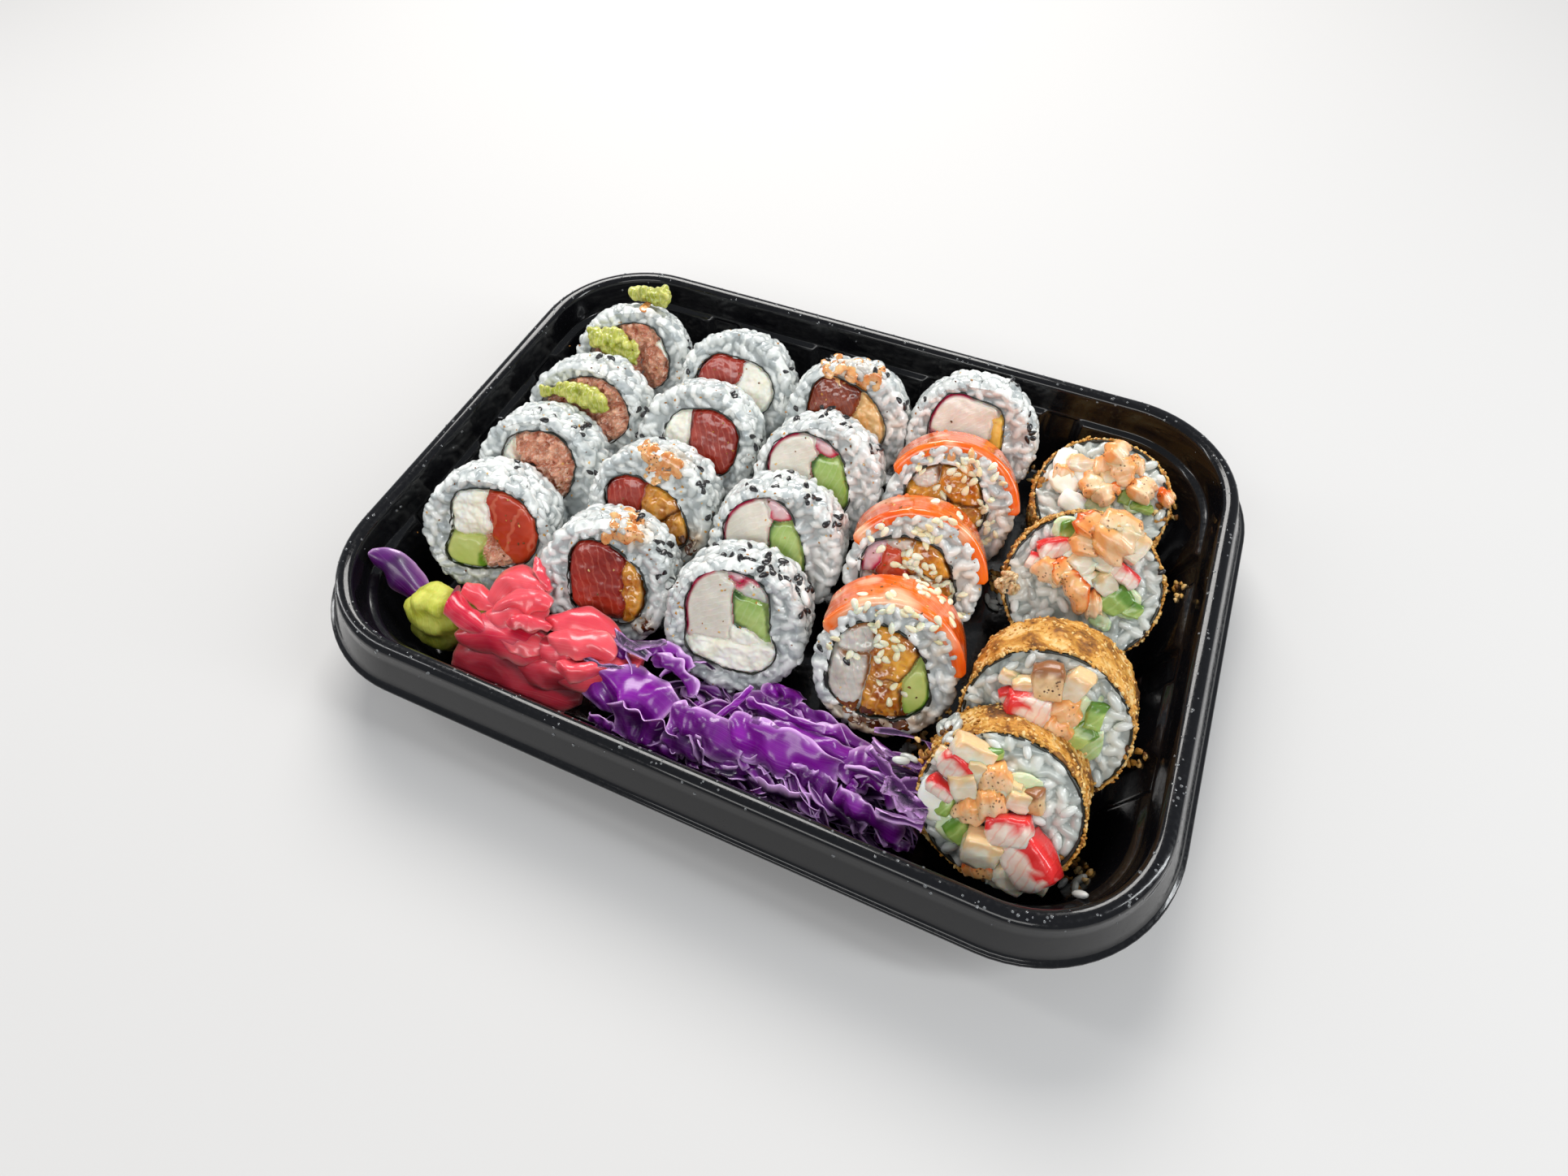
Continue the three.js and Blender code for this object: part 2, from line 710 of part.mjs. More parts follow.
// The plane between ginger and cabbage: the ginger's end lies over the shreds.
const DIVIDE_NORMAL = new THREE.Vector3(0.8, 0.35, -0.5).normalize();
const DIVIDE_OFFSET = DIVIDE_NORMAL.dot(new THREE.Vector3(-31, -72, 18));

const GINGER_SLICES = [
  { x: -68, y: -60, z: 33, turn: 62, tip: -8, roll: 24, length: 31, width: 20 },
  { x: -75, y: -70, z: 27, turn: -16, tip: 10, roll: 18, length: 27, width: 18 },
  { x: -56, y: -67, z: 28, turn: 8, tip: -6, roll: 22, length: 36, width: 20 },
  { x: -62, y: -77, z: 20, turn: -8, tip: 4, roll: 34, length: 44, width: 16 },
  { x: -39, y: -68, z: 27, turn: -20, tip: -6, roll: 20, length: 36, width: 18 },
];

function makeGinger(clearOf, basin, random) {
  const core = moundSolid(
    new THREE.Vector3(29, 14, 22),
    new THREE.Vector3(-58, -69, 6),
    random,
  );
  const slices = GINGER_SLICES.map((given) => sliceSolid({
    ...given,
    place: new THREE.Vector3(given.x, given.y, given.z),
    thickness: 1.5,
    curl: 0.55 + 0.3 * random(),
    ripple: 1.3,
    waves: 1.6,
    taper: 0.35,
  }));
  const heap = union([core, ...slices]);
  const free = clearOf.reduce((rest, space) => rest.subtract(space), heap);
  const back = DIVIDE_NORMAL.clone().negate().toArray();
  const kept = free.intersect(basin).trimByPlane(back, -DIVIDE_OFFSET + GAP / 2);
  return namedMesh('ginger', geometryOf(largestPiece(kept)), FINISH.ginger);
}

const CABBAGE_FROM = -40;
const CABBAGE_TO = 70;
const SHRED_COUNT = 11;

function makeCabbage(clearOf, basin, random) {
  const middle = (CABBAGE_FROM + CABBAGE_TO) / 2;
  const core = moundSolid(
    new THREE.Vector3((CABBAGE_TO - CABBAGE_FROM) / 2, 17, 20),
    new THREE.Vector3(middle, -69, 3),
    random,
  );
  const shreds = Array.from({ length: SHRED_COUNT }, (_, i) => {
    const share = (i + 0.5) / SHRED_COUNT;
    const nearWall = i % 2;
    return sliceSolid({
      place: new THREE.Vector3(
        CABBAGE_FROM + 5 + share * (CABBAGE_TO - CABBAGE_FROM - 14),
        nearWall ? -74 : -64,
        24 - 2.5 * share + 2.4 * random() - 2 * nearWall,
      ),
      length: 24 + 12 * random(),
      width: 5 + 6 * random(),
      thickness: 1.3,
      curl: 0.7 + 0.5 * random(),
      ripple: 1.0,
      waves: 1.4,
      taper: 0.3,
      turn: -35 + 70 * random(),
      tip: -14 + 28 * random(),
      roll: 20 + 40 * random(),
      steps: 4,
      across: 1,
    });
  });
  const heap = union([core, ...shreds]);
  const free = clearOf.reduce((rest, space) => rest.subtract(space), heap);
  const forward = DIVIDE_NORMAL.toArray();
  const kept = free.intersect(basin).trimByPlane(forward, DIVIDE_OFFSET + GAP / 2);
  return namedMesh('cabbage', geometryOf(largestPiece(kept)), FINISH.cabbage);
}

function makeCabbageLeaf(clearOf, basin) {
  const leaf = sliceSolid({
    place: new THREE.Vector3(-108.5, -66.5, 27),
    length: 36,
    width: 12,
    thickness: 1.3,
    curl: 0.35,
    ripple: 0.8,
    waves: 1,
    taper: 0.6,
    turn: -12,
    tip: 34,
    roll: 48,
    steps: 7,
    across: 2,
  });
  const free = clearOf.reduce((rest, space) => rest.subtract(space), leaf);
  return namedMesh('cabbage_leaf', geometryOf(largestPiece(free.intersect(basin))), FINISH.cabbage);
}

// ---- The whole tray of sushi ---------------------------------------------------------------------

function makeSushiTray() {
  const group = new THREE.Group();
  const random = seededRandom(RED_SEED);
  const basin = makeBasinSpace();
  const rolls = placeRolls();
  const named = Object.fromEntries(rolls.map((roll) => [roll.name, roll]));
  rolls.forEach((first, i) => {
    rolls.slice(i + 1).forEach((second) => pressTogether(first, second));
  });
  group.add(makeTray());
  rolls.forEach((roll) => group.add(makeRoll(roll, random)));
  rolls.filter((roll) => roll.slice).forEach((roll) => group.add(makeSalmonSlice(roll, random)));
  rolls.filter((roll) => HEAPS[roll.name]).forEach((roll) => {
    const others = rolls.filter((other) => other !== roll && other.face.distanceTo(roll.face) < 60);
    const spaces = others.map((other) => rollSpace(other, GAP));
    group.add(makeHeap(roll, spaces, random));
  });

  const short = { x: 12.5, y: 6, z: 4.6 };
  const long = { x: 15, y: 5.5, z: 5 };
  const top = { x: 9, y: 5, z: 5.5 };
  const { a1, a2 } = named;
  const over = [rollSpace(named.a2, GAP), rollSpace(named.a3, GAP), rollSpace(named.b1, GAP)];
  group.add(makeMash('avocado_mash_a1', a1, over, short, { x: -4, y: 7.5, z: 1.2 }, -30, random));
  group.add(makeMash('avocado_mash_a2', a2, over.slice(1), long, { x: 0, y: 10, z: 1.4 }, -5, random));
  group.add(makeTopMash('avocado_mash_top', a1, basin, top, { x: 8, y: 23.5, z: -9 }, random));

  const front = ['a4', 'b4', 'c4', 'd4', 'e4'].map((name) => rollSpace(named[name], GAP));
  const beside = ['d1', 'd2', 'e1', 'e2', 'd4', 'e3', 'e4'].map((name) => rollSpace(named[name], GAP));
  group.add(makeLoosePiece('tempura_crumb', CRUMB, beside, basin, FINISH.crumb, random));
  group.add(makeLoosePiece('shrimp_piece', SHRIMP, beside, basin, FINISH.chopped, random));
  group.add(makeWasabi(front, basin, random));
  const wasabiSpace = moundSolid(new THREE.Vector3(12.3, 10.2, 15.8), WASABI_MIDDLE, () => 0.5);
  group.add(makeGinger([...front, wasabiSpace], basin, random));
  const shrimpSpace = moundSolid(SHRIMP.size.clone().multiplyScalar(0.62), SHRIMP.place, () => 0.5);
  group.add(makeCabbage([...front, shrimpSpace], basin, random));
  group.add(makeCabbageLeaf([...front, wasabiSpace], basin));
  return group;
}

export default makeSushiTray();
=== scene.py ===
import json
import math
import random

import bmesh
import bpy
import numpy as np
from mathutils import Matrix, Vector, noise
from mathutils.bvhtree import BVHTree
from mathutils.kdtree import KDTree

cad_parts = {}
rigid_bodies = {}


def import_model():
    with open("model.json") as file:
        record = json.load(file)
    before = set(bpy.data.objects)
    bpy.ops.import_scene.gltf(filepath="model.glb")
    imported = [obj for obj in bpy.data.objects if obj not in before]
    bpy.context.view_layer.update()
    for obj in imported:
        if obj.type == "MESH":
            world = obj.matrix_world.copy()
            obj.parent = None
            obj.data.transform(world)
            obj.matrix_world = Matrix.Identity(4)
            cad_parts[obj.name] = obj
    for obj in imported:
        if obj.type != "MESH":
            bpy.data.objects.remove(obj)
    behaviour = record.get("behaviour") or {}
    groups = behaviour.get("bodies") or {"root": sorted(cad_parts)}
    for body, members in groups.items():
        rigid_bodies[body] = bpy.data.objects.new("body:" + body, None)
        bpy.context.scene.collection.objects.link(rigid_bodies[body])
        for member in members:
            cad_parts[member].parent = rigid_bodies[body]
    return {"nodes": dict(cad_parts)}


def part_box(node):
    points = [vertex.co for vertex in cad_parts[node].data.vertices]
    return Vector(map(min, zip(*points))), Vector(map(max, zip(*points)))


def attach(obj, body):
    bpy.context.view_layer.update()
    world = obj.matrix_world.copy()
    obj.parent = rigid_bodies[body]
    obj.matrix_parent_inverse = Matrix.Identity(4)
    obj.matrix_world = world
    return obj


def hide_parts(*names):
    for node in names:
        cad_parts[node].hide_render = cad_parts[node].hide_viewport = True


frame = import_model()
noise.seed_set(5)  # noise vectors change with every run until this is called
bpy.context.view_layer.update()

# ----------------
# Table, light and camera. A plain pale table, one large soft light from the
# back left, two narrow ones from the sides that draw the rim, a weak one from
# the front, and a camera that looks down over the garnish side of the tray.


def linear(red, green, blue):
    """A colour given from 0 to 255 as a screen shows it, as light values."""
    return tuple((value / 255) ** 2.2 for value in (red, green, blue))


def new_material(name, color, roughness, **sockets):
    """A material with its shader's inputs set, each named with underscores."""
    material = bpy.data.materials.new(name)
    material.use_nodes = True
    shader = material.node_tree.nodes["Principled BSDF"]
    for socket, value in {"Base_Color": (*color, 1), "Roughness": roughness, **sockets}.items():
        shader.inputs[socket.replace("_", " ")].default_value = value
    return material


table = bmesh.new()
bmesh.ops.create_grid(table, x_segments=2, y_segments=2, size=3.0)
table_mesh = bpy.data.meshes.new("table")
table.to_mesh(table_mesh)
table.free()
table_mesh.materials.append(new_material("table_paint", (0.62, 0.61, 0.6), 0.7))
table_top = bpy.data.objects.new("table", table_mesh)
bpy.context.collection.objects.link(table_top)

sky = bpy.data.worlds.new("sky")
sky.use_nodes = True
background = sky.node_tree.nodes["Background"].inputs
background["Color"].default_value = (0.86, 0.92, 1.0, 1)
background["Strength"].default_value = 0.32
bpy.context.scene.world = sky


def add_light(name, place, size, watts, color):
    """A soft lamp that looks at the tray's middle, with its width and height."""
    lamp = bpy.data.lights.new(name, "AREA")
    lamp.shape, lamp.energy, lamp.color = "RECTANGLE", watts, color
    lamp.size, lamp.size_y = size
    holder = bpy.data.objects.new(name, lamp)
    holder.location = place
    holder.rotation_euler = (Vector((0, 0, 0.02)) - Vector(place)).to_track_quat("-Z", "Y").to_euler()
    bpy.context.collection.objects.link(holder)


add_light("key_light", (-0.35, 0.75, 0.85), (0.7, 0.5), 12.5, (1.0, 0.98, 0.95))
add_light("side_light", (0.8, 0.1, 0.6), (0.1, 0.8), 4.5, (0.95, 0.98, 1.0))
add_light("rim_light", (-0.75, -0.1, 0.5), (0.08, 0.7), 1.6, (1.0, 1.0, 1.0))
add_light("front_light", (0.1, -0.75, 0.7), (0.8, 0.3), 3.6, (1.0, 0.99, 0.97))

yaw, pitch, bank = (math.radians(angle) for angle in (-25.607, 56.968, 2.149))
focal_length, frame_width = 1020.14, 1930
forward = Vector((math.sin(yaw) * math.cos(pitch), math.cos(yaw) * math.cos(pitch), -math.sin(pitch)))
level = Vector((math.cos(yaw), -math.sin(yaw), 0))
down = forward.cross(level)
right = level * math.cos(bank) + down * math.sin(bank)
down = forward.cross(right)
camera_data = bpy.data.cameras.new("camera")
camera_data.sensor_width = 36
camera_data.lens = camera_data.sensor_width * focal_length / frame_width
camera_data.clip_start = 0.01
camera = bpy.data.objects.new("camera", camera_data)
turned = Matrix((right, -down, -forward)).transposed().to_4x4()
camera.matrix_world = Matrix.Translation((0.06624, -0.14873, 0.24548)) @ turned
bpy.context.collection.objects.link(camera)
bpy.context.scene.camera = camera
bpy.context.scene.view_settings.view_transform = "Standard"

# ----------------
# The tray: black glossy plastic sheet drawn down over a mould in one piece. It
# has a rolled rim with a skirt, a narrow ledge below the rim, and flutes down
# the wall that keep the thin sheet stiff.


def add_node(tree, kind, inputs=None, **settings):
    """A shader node with its inputs' values and its settings."""
    node = tree.nodes.new("ShaderNode" + kind)
    for name, value in settings.items():
        setattr(node, name, value)
    for name, value in (inputs or {}).items():
        node.inputs[name].default_value = value
    return node


def wire(tree, *links):
    """Joins nodes, each link given as node, output, node, input."""
    for source, output, target, entry in links:
        tree.links.new(source.outputs[output], target.inputs[entry])


def add_noise(tree, scale, detail, kind="TexNoise", **inputs):
    """A texture that lies on the piece's own coordinates."""
    texture = add_node(tree, kind, {"Scale": scale, "Detail": detail, **inputs})
    wire(tree, (add_node(tree, "TexCoord"), "Object", texture, "Vector"))
    return texture


def add_bump(tree, source, output, strength, distance):
    """Lets a node's output lift the surface. Returns the shader."""
    bump = add_node(tree, "Bump", {"Strength": strength, "Distance": distance})
    shader = tree.nodes["Principled BSDF"]
    wire(tree, (source, output, bump, "Height"), (bump, "Normal", shader, "Normal"))
    return shader


def combine(parts):
    """Several (vertices, faces) pairs as one."""
    vertices, faces, offset = [], [], 0
    for points, polygons in parts:
        vertices.append(np.asarray(points, float))
        faces.extend([[index + offset for index in polygon] for polygon in polygons])
        offset += len(points)
    return np.concatenate(vertices), faces


def add_piece(name, vertices, faces, materials, slot, values=None, kinds=None):
    """Links a mesh given in millimetres as a piece that belongs to the tray.
    values are numbers per vertex, kinds the number of each face's material."""
    mesh = bpy.data.meshes.new(name)
    mesh.from_pydata((np.asarray(vertices) * 0.001).tolist(), [], faces)
    mesh.polygons.foreach_set("use_smooth", [True] * len(mesh.polygons))
    for label, numbers in (values or {}).items():
        layer = mesh.attributes.new(label, "FLOAT", "POINT")
        layer.data.foreach_set("value", np.asarray(numbers, float))
    for material in materials if isinstance(materials, list) else [materials]:
        mesh.materials.append(material)
    if kinds is not None:
        mesh.polygons.foreach_set("material_index", np.asarray(kinds, dtype=np.int32))
    piece = bpy.data.objects.new(name, mesh)
    bpy.context.collection.objects.link(piece)
    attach(piece, "root")
    return piece


FLUTE_DEPTH = 1.9
# Across a flute: how far from its middle, and the share of its depth there.
FLUTE = ((-8, 0), (-7, 0.12), (-6, 0.55), (-5, 0.95), (-4, 1), (0, 1), (4, 1), (5, 0.95), (6, 0.55), (7, 0.12), (8, 0))


def mouth_columns():
    """The rim's inner edge as columns of place, outward direction and flute."""
    half_length, half_width, radius = 123.0, 87.7, 33.0
    columns = []
    for side in range(4):
        out = math.radians(90 * side)
        outward = np.array((math.cos(out), math.sin(out)))
        along = np.array((-outward[1], outward[0]))
        reach = half_width if side % 2 else half_length
        length = 2 * ((half_length if side % 2 else half_width) - radius)
        count = 4 if side % 2 else 3
        for flute in range(count):
            for away, depth in FLUTE:
                distance = length * (flute + 0.5) / count + away
                columns.append((outward * reach + along * (distance - length / 2), outward, depth))
        corner = outward * (reach - radius) + along * length / 2
        for step in range(19):
            angle = out + math.pi / 2 * step / 18
            direction = np.array((math.cos(angle), math.sin(angle)))
            columns.append((corner + direction * radius, direction, 0))
    return columns


# The sheet's two sides as rings: how far outside the rim's inner edge, how
# high, and the share of the flutes' depth.
TRAY_INSIDE = [
    (11.4, 25.0, 0), (11.3, 25.5, 0), (10.8, 25.8, 0), (10.2, 25.85, 0), (9.8, 26.2, 0),
    (9.1, 27.2, 0), (8.7, 28.0, 0), (6.0, 33.0, 0), (5.5, 34.0, 0), (5.1, 36.2, 0),
    (4.7, 37.1, 0), (4.1, 37.65, 0), (3.3, 37.9, 0), (2.4, 37.95, 0), (1.5, 37.85, 0),
    (0.8, 37.5, 0), (0.3, 37.1, 0), (0, 36.6, 0), (-0.2, 35.5, 0), (-0.6, 30.5, 0),
    (-0.8, 28.0, 0), (-1.0, 27.5, 0), (-1.4, 27.25, 0.1), (-2.5, 26.5, 0.8), (-2.9, 26.1, 1),
    (-3.2, 25.4, 1), (-5.8, 14.7, 0.9), (-8.3, 4.4, 0.8), (-8.7, 2.9, 0.7), (-9.8, 1.6, 0.5),
    (-11.5, 1.05, 0.3), (-15, 1.0, 0), (-16, 1.0, 0), (-17, 1.0, 0),
]
TRAY_OUTSIDE = [
    (-16, 0, 0), (-11.2, 0, 0.3), (-9.4, 0.5, 0.5), (-8.0, 1.9, 0.7), (-7.4, 3.9, 0.8),
    (-2.4, 24.9, 1), (-1.8, 25.6, 0.8), (-0.4, 26.7, 0.1), (0.1, 27.4, 0), (0.8, 35.6, 0),
    (1.4, 36.5, 0), (2.4, 36.9, 0), (3.5, 36.7, 0), (4.2, 35.9, 0), (5.0, 32.7, 0),
    (8.1, 27.0, 0), (9.2, 25.2, 0), (10.6, 24.7, 0), (11.3, 24.6, 0),
]


def tray_shell():
    """The whole sheet: both sides of the wall, and the bottom closed above and
    below. Returns vertices and faces."""
    columns = mouth_columns()
    rings = TRAY_OUTSIDE + TRAY_INSIDE
    vertices = [(0, 0, 0)]
    for outside, height, fluted in rings:
        for place, outward, depth in columns:
            x, y = place + outward * (outside + FLUTE_DEPTH * depth * fluted)
            vertices.append((x, y, height))
    vertices.append((0, 0, 1.0))
    count, faces = len(columns), []
    for i in range(count):
        following = (i + 1) % count
        faces.append((0, 1 + following, 1 + i))
        for ring in range(len(rings) - 1):
            low, high = 1 + ring * count, 1 + (ring + 1) * count
            faces.append((low + i, low + following, high + following, high + i))
        last = 1 + (len(rings) - 1) * count
        faces.append((last + i, last + following, len(vertices) - 1))
    return vertices, faces


def tray_plastic():
    """Black glossy sheet with a faint uneven film."""
    material = new_material("tray_plastic", (0.004, 0.004, 0.005), 0.12, Coat_Weight=0.35, Coat_Roughness=0.03,
                            Specular_IOR_Level=0.25)
    tree = material.node_tree
    film = add_node(tree, "MapRange", {"From Min": 0.35, "From Max": 0.75, "To Min": 0.1, "To Max": 0.3})
    shader = add_bump(tree, add_noise(tree, 90, 2), "Fac", 0.12, 0.001)
    wire(tree, (add_noise(tree, 900, 3), "Fac", film, "Value"), (film, "Result", shader, "Roughness"))
    return material


tray_piece = add_piece("tray_shell", *tray_shell(), tray_plastic(), "tray")
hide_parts("tray")

# ----------------
# The rice of the uramaki: short sticky grains pressed into one body. Each roll
# stands on its edge and leans on the one behind, so its cut face looks up.

# Per roll: place, lean and turn of the face, radius, and how far from the
# middle the seaweed is every 30 degrees.
ROLL_TABLE = (
    ("a1", (-86, 45), 36, 25, 22.3, (13.5, 14, 15.5, 15, 15, 16, 15, 11.5, 10, 9, 10.5, 13)),
    ("a2", (-88, 13), 31, 15, 22.3, (16, 17.5, 17.5, 16, 15, 16.5, 14.5, 12, 10, 9, 9.5, 12)),
    ("a3", (-89.5, -15.5), 31, 16, 22.3, (12.5, 15.5, 17, 16, 15.5, 13.5, 12.5, 11.5, 10, 9.5, 10, 11.5)),
    ("a4", (-91, -43.5), 33, 18, 22.3, (17.5, 18.5, 17.5, 16, 16, 12, 11.5, 15.5, 13, 11, 12, 15.5)),
    ("b1", (-45, 47), 38, 14, 22.2, (14.5, 14, 12.5, 12, 14.5, 15, 14.5, 13, 11, 10, 11, 13)),
    ("b2", (-46, 17.5), 36, 11, 22.2, (15, 16.5, 15, 13, 13, 12, 11.5, 11.5, 10.5, 10, 11.5, 14)),
    ("b3", (-47, -14.5), 36, 12, 22.2, (12.5, 11, 10, 10, 13.5, 16, 14, 13, 12, 11.5, 14, 16)),
    ("b4", (-45.5, -45), 37, 18, 22.2, (13, 12.5, 12, 14, 15.5, 12.5, 11, 12, 11.5, 11, 14, 14)),
    ("c1", (-1, 46), 33, 14, 22.8, (14, 13, 13.5, 15, 19, 16, 13.5, 12, 10.5, 10, 11, 13.5)),
    ("c2", (-0.5, 17), 34, 10, 22.8, (11.5, 11, 13.5, 16, 19, 19, 16, 14.5, 11.5, 11.5, 12.5, 13)),
    ("c3", (-2, -13.5), 32, 12, 22.8, (10, 10, 12, 17.5, 19, 18.5, 16, 14.5, 11.5, 11, 11.5, 11.5)),
    ("c4", (-1.5, -43.5), 34, 14, 22.8, (11, 12, 16.5, 18.5, 19.5, 17, 14.5, 16, 13.5, 13.5, 15.5, 15)),
    ("d1", (41, 54), 32, 6, 23.3, (11, 12, 15.5, 15.5, 18.5, 16.5, 14, 11.5, 10, 9, 9.5, 11)),
    ("d2", (43, 24), 36, 9, 23.3, (12, 12, 13.5, 14.5, 15.5, 15.5, 14.5, 14, 13, 13, 13, 12.5)),
    ("d3", (41.5, -6.5), 37, 12, 23.3, (13, 12, 12.5, 13, 14.5, 17, 16, 16, 14.5, 13.5, 14, 14.5)),
    ("d4", (44.5, -39), 35, 11, 23.3, (12.5, 11.5, 12, 13, 16, 16.5, 16, 17.5, 16.5, 15.5, 16, 15.5)),
)
ROLLS = {name: {"at": at, "lean": lean, "turn": turn, "radius": radius, "length": 21.5, "ring": ring}
         for name, at, lean, turn, radius, ring in ROLL_TABLE}
for name in ("d2", "d3", "d4"):
    ROLLS[name]["slice"] = 2.9

# Grains that sauce or the burner has coloured: across, up, reach, strength.
STAINS = {
    "a1": ((8, 20, 7, 0.25),), "a2": ((5, 17, 8, 0.2),),
    "b3": ((8, 19, 9, 0.45), (15, -7, 7, 0.8)), "b4": ((10, 17, 9, 0.45), (12, -12, 6, 0.6)),
    "c1": ((0, 21, 13, 0.4), (17, 2, 6, 0.35)), "d2": ((0, 20, 9, 0.3), (14, 2, 8, 0.4)),
    "d3": ((14, 2, 9, 0.4), (-14, -12, 7, 0.4), (-4, 19, 8, 0.35)),
    "d4": ((-1, -19, 10, 0.95), (-13, -17, 6, 0.6), (13, -13, 7, 0.7), (13, 11, 7, 0.4)),
}


def noise_at(x, y, z):
    """Smooth noise from -1 to 1."""
    return noise.noise(Vector((x, y, z)))


def settle(roll):
    """Works out a roll's axes: across its face, up its face and out of it. Its
    rice stands a little above the tray's bottom sheet."""
    above = 1.36
    roll["body"] = roll["radius"] - roll.get("slice", 0)
    roll["sag"] = roll.get("slice", 0) / 2
    lean, turn = math.radians(roll["lean"]), math.radians(roll["turn"])
    across = np.array((math.cos(turn), math.sin(turn), 0))
    out = np.array((math.sin(turn) * math.cos(lean), -math.cos(turn) * math.cos(lean), math.sin(lean)))
    height = above + roll["length"] * math.sin(lean) + roll["radius"] * math.cos(lean)
    roll["axes"] = np.stack((across, np.cross(out, across), out))
    roll["face"] = np.array((*roll["at"], height))


def in_place(roll, points):
    """Points given across, up and out from a roll's face, in the tray's frame."""
    return np.asarray(points, float) @ roll["axes"] + roll["face"]


def on_face(roll, points):
    """Points in the tray's frame, given across, up and out from a roll's face."""
    return (np.asarray(points, float) - roll["face"]) @ roll["axes"].T


def solid_tree(node):
    """A CAD node's surface in millimetres, to measure from."""
    mesh = frame["nodes"][node].data
    vertices = [tuple(vertex.co * 1000) for vertex in mesh.vertices]
    return BVHTree.FromPolygons(vertices, [tuple(polygon.vertices) for polygon in mesh.polygons])


def keep_within(tree, points, depth):
    """Moves points that are out of a solid, or less than depth inside, to depth."""
    kept, normals = [], []
    for point in points:
        surface, normal, _, _ = tree.find_nearest(point)
        if (Vector(point) - surface).dot(normal) > -depth:
            point = surface - normal * depth
        kept.append(tuple(point))
        normals.append(tuple(normal))
    return np.array(kept), np.array(normals)


def ring_reach(ring, a, b):
    """How far the seaweed is from the middle of the face, towards a, b: a
    smooth curve through the ring's reaches."""
    place = np.arctan2(b, a) / (2 * math.pi) * len(ring)
    step = np.floor(place)
    part = place - step
    before, here, after, beyond = (np.asarray(ring, float)[(step + k).astype(int) % len(ring)] for k in (-1, 0, 1, 2))
    bend = 2 * before - 5 * here + 4 * after - beyond + part * (3 * (here - after) + beyond - before)
    return here + 0.5 * part * (after - before + part * bend)


def circle(reach, angles, depth):
    """A loop at a reach from the face's middle, at a depth under the face."""
    return np.stack((reach * np.cos(angles), reach * np.sin(angles), depth + 0 * angles), axis=1)


def ring_points(roll, angles, grow, depth):
    """A loop along the seaweed, grown by grow, at a depth under the face."""
    return circle(ring_reach(roll["ring"], np.cos(angles), np.sin(angles)) + grow, angles, depth)


def stitch(loops, count):
    """Quads between closed loops of count points that follow each other."""
    faces = []
    for low in range(0, (loops - 1) * count, count):
        for i in range(count):
            following = (i + 1) % count
            faces.append((low + i, low + following, low + count + following, low + count + i))
    return faces


def spread(accept, reach, spacing, chance):
    """Places on a cut face at least spacing apart, where accept allows them."""
    places = np.zeros((0, 2))
    for _ in range(int(9 * (reach / spacing) ** 2)):
        point = np.array((chance.uniform(-reach, reach), chance.uniform(-reach, reach)))
        if not accept(*point):
            continue
        if len(places) and np.min(np.sum((places - point) ** 2, axis=1)) < spacing * spacing:
            continue
        places = np.vstack((places, point))
    return places


# Half a grain's length and width, and how far it stands out of the body.
GRAIN_SIZE = (2.6, 1.32, 1.65)


def pressed_grains(points, normals, seeds, facing, size, chance, sharpness=13):
    """Raises grains on a surface: each point goes up to the back of the grains
    that lie on it, which run into each other. Returns points and tones: each
    grain's own tone, darkened in the hollows between grains as painted shade."""
    nearest = KDTree(len(seeds))
    for index, seed in enumerate(seeds):
        nearest.insert(seed, index)
    nearest.balance()
    headings = np.array([[chance.gauss(0, 1) for _ in range(3)] for _ in seeds])
    along = headings - facing * np.sum(headings * facing, axis=1, keepdims=True)
    along /= np.linalg.norm(along, axis=1, keepdims=True)
    across = np.cross(facing, along)
    scale = np.array([chance.uniform(0.85, 1.15) for _ in seeds])
    tones = np.array([chance.random() for _ in seeds])
    lift = np.array([chance.uniform(-0.25, 0.2) for _ in seeds])
    near = np.array([[found[1] for found in nearest.find_n(point, 7)] for point in points])
    away = points[:, None] - seeds[near]
    u = np.sum(away * along[near], axis=2) / (size[0] * scale[near])
    v = np.sum(away * across[near], axis=2) / (size[1] * scale[near])
    w = np.sum(away * facing[near], axis=2) / 3.2
    backs = np.sqrt(np.clip(1 - u * u - v * v - w * w, 0, 1)) * (size[2] + lift[near])
    weights = np.exp(sharpness * backs)
    height = np.log(np.mean(weights, axis=1)) / sharpness
    tone = np.sum(weights * tones[near], axis=1) / np.sum(weights, axis=1)
    # low runs from 0 in the hollows between grains to 1 on their backs; the tone is lowered in the hollows as painted
    # shade.
    low = np.clip(height / (0.55 * size[2]), 0, 1)
    return points + normals * height[:, None], np.clip(tone * (0.3 + 0.7 * low), 0, 1)


def rice_edge(roll, angles, inset, depth):
    """Across and up of the rice, inset from its side. Where a slice of fish
    lies on it the rice rises to meet it, and swells out at the cut face."""
    covered = 0
    if "slice" in roll:
        covered = np.clip(4 * np.minimum(angles - 0.12, 2.68 - angles), 0, 1)
        inset = inset - 1.6 * max(0, 1 + depth / 10)
    reach = roll["body"] + 0.4 * covered - inset * (1 - 0.5 * covered)
    return reach * np.cos(angles), reach * np.sin(angles) - roll["sag"] * (1 - covered)


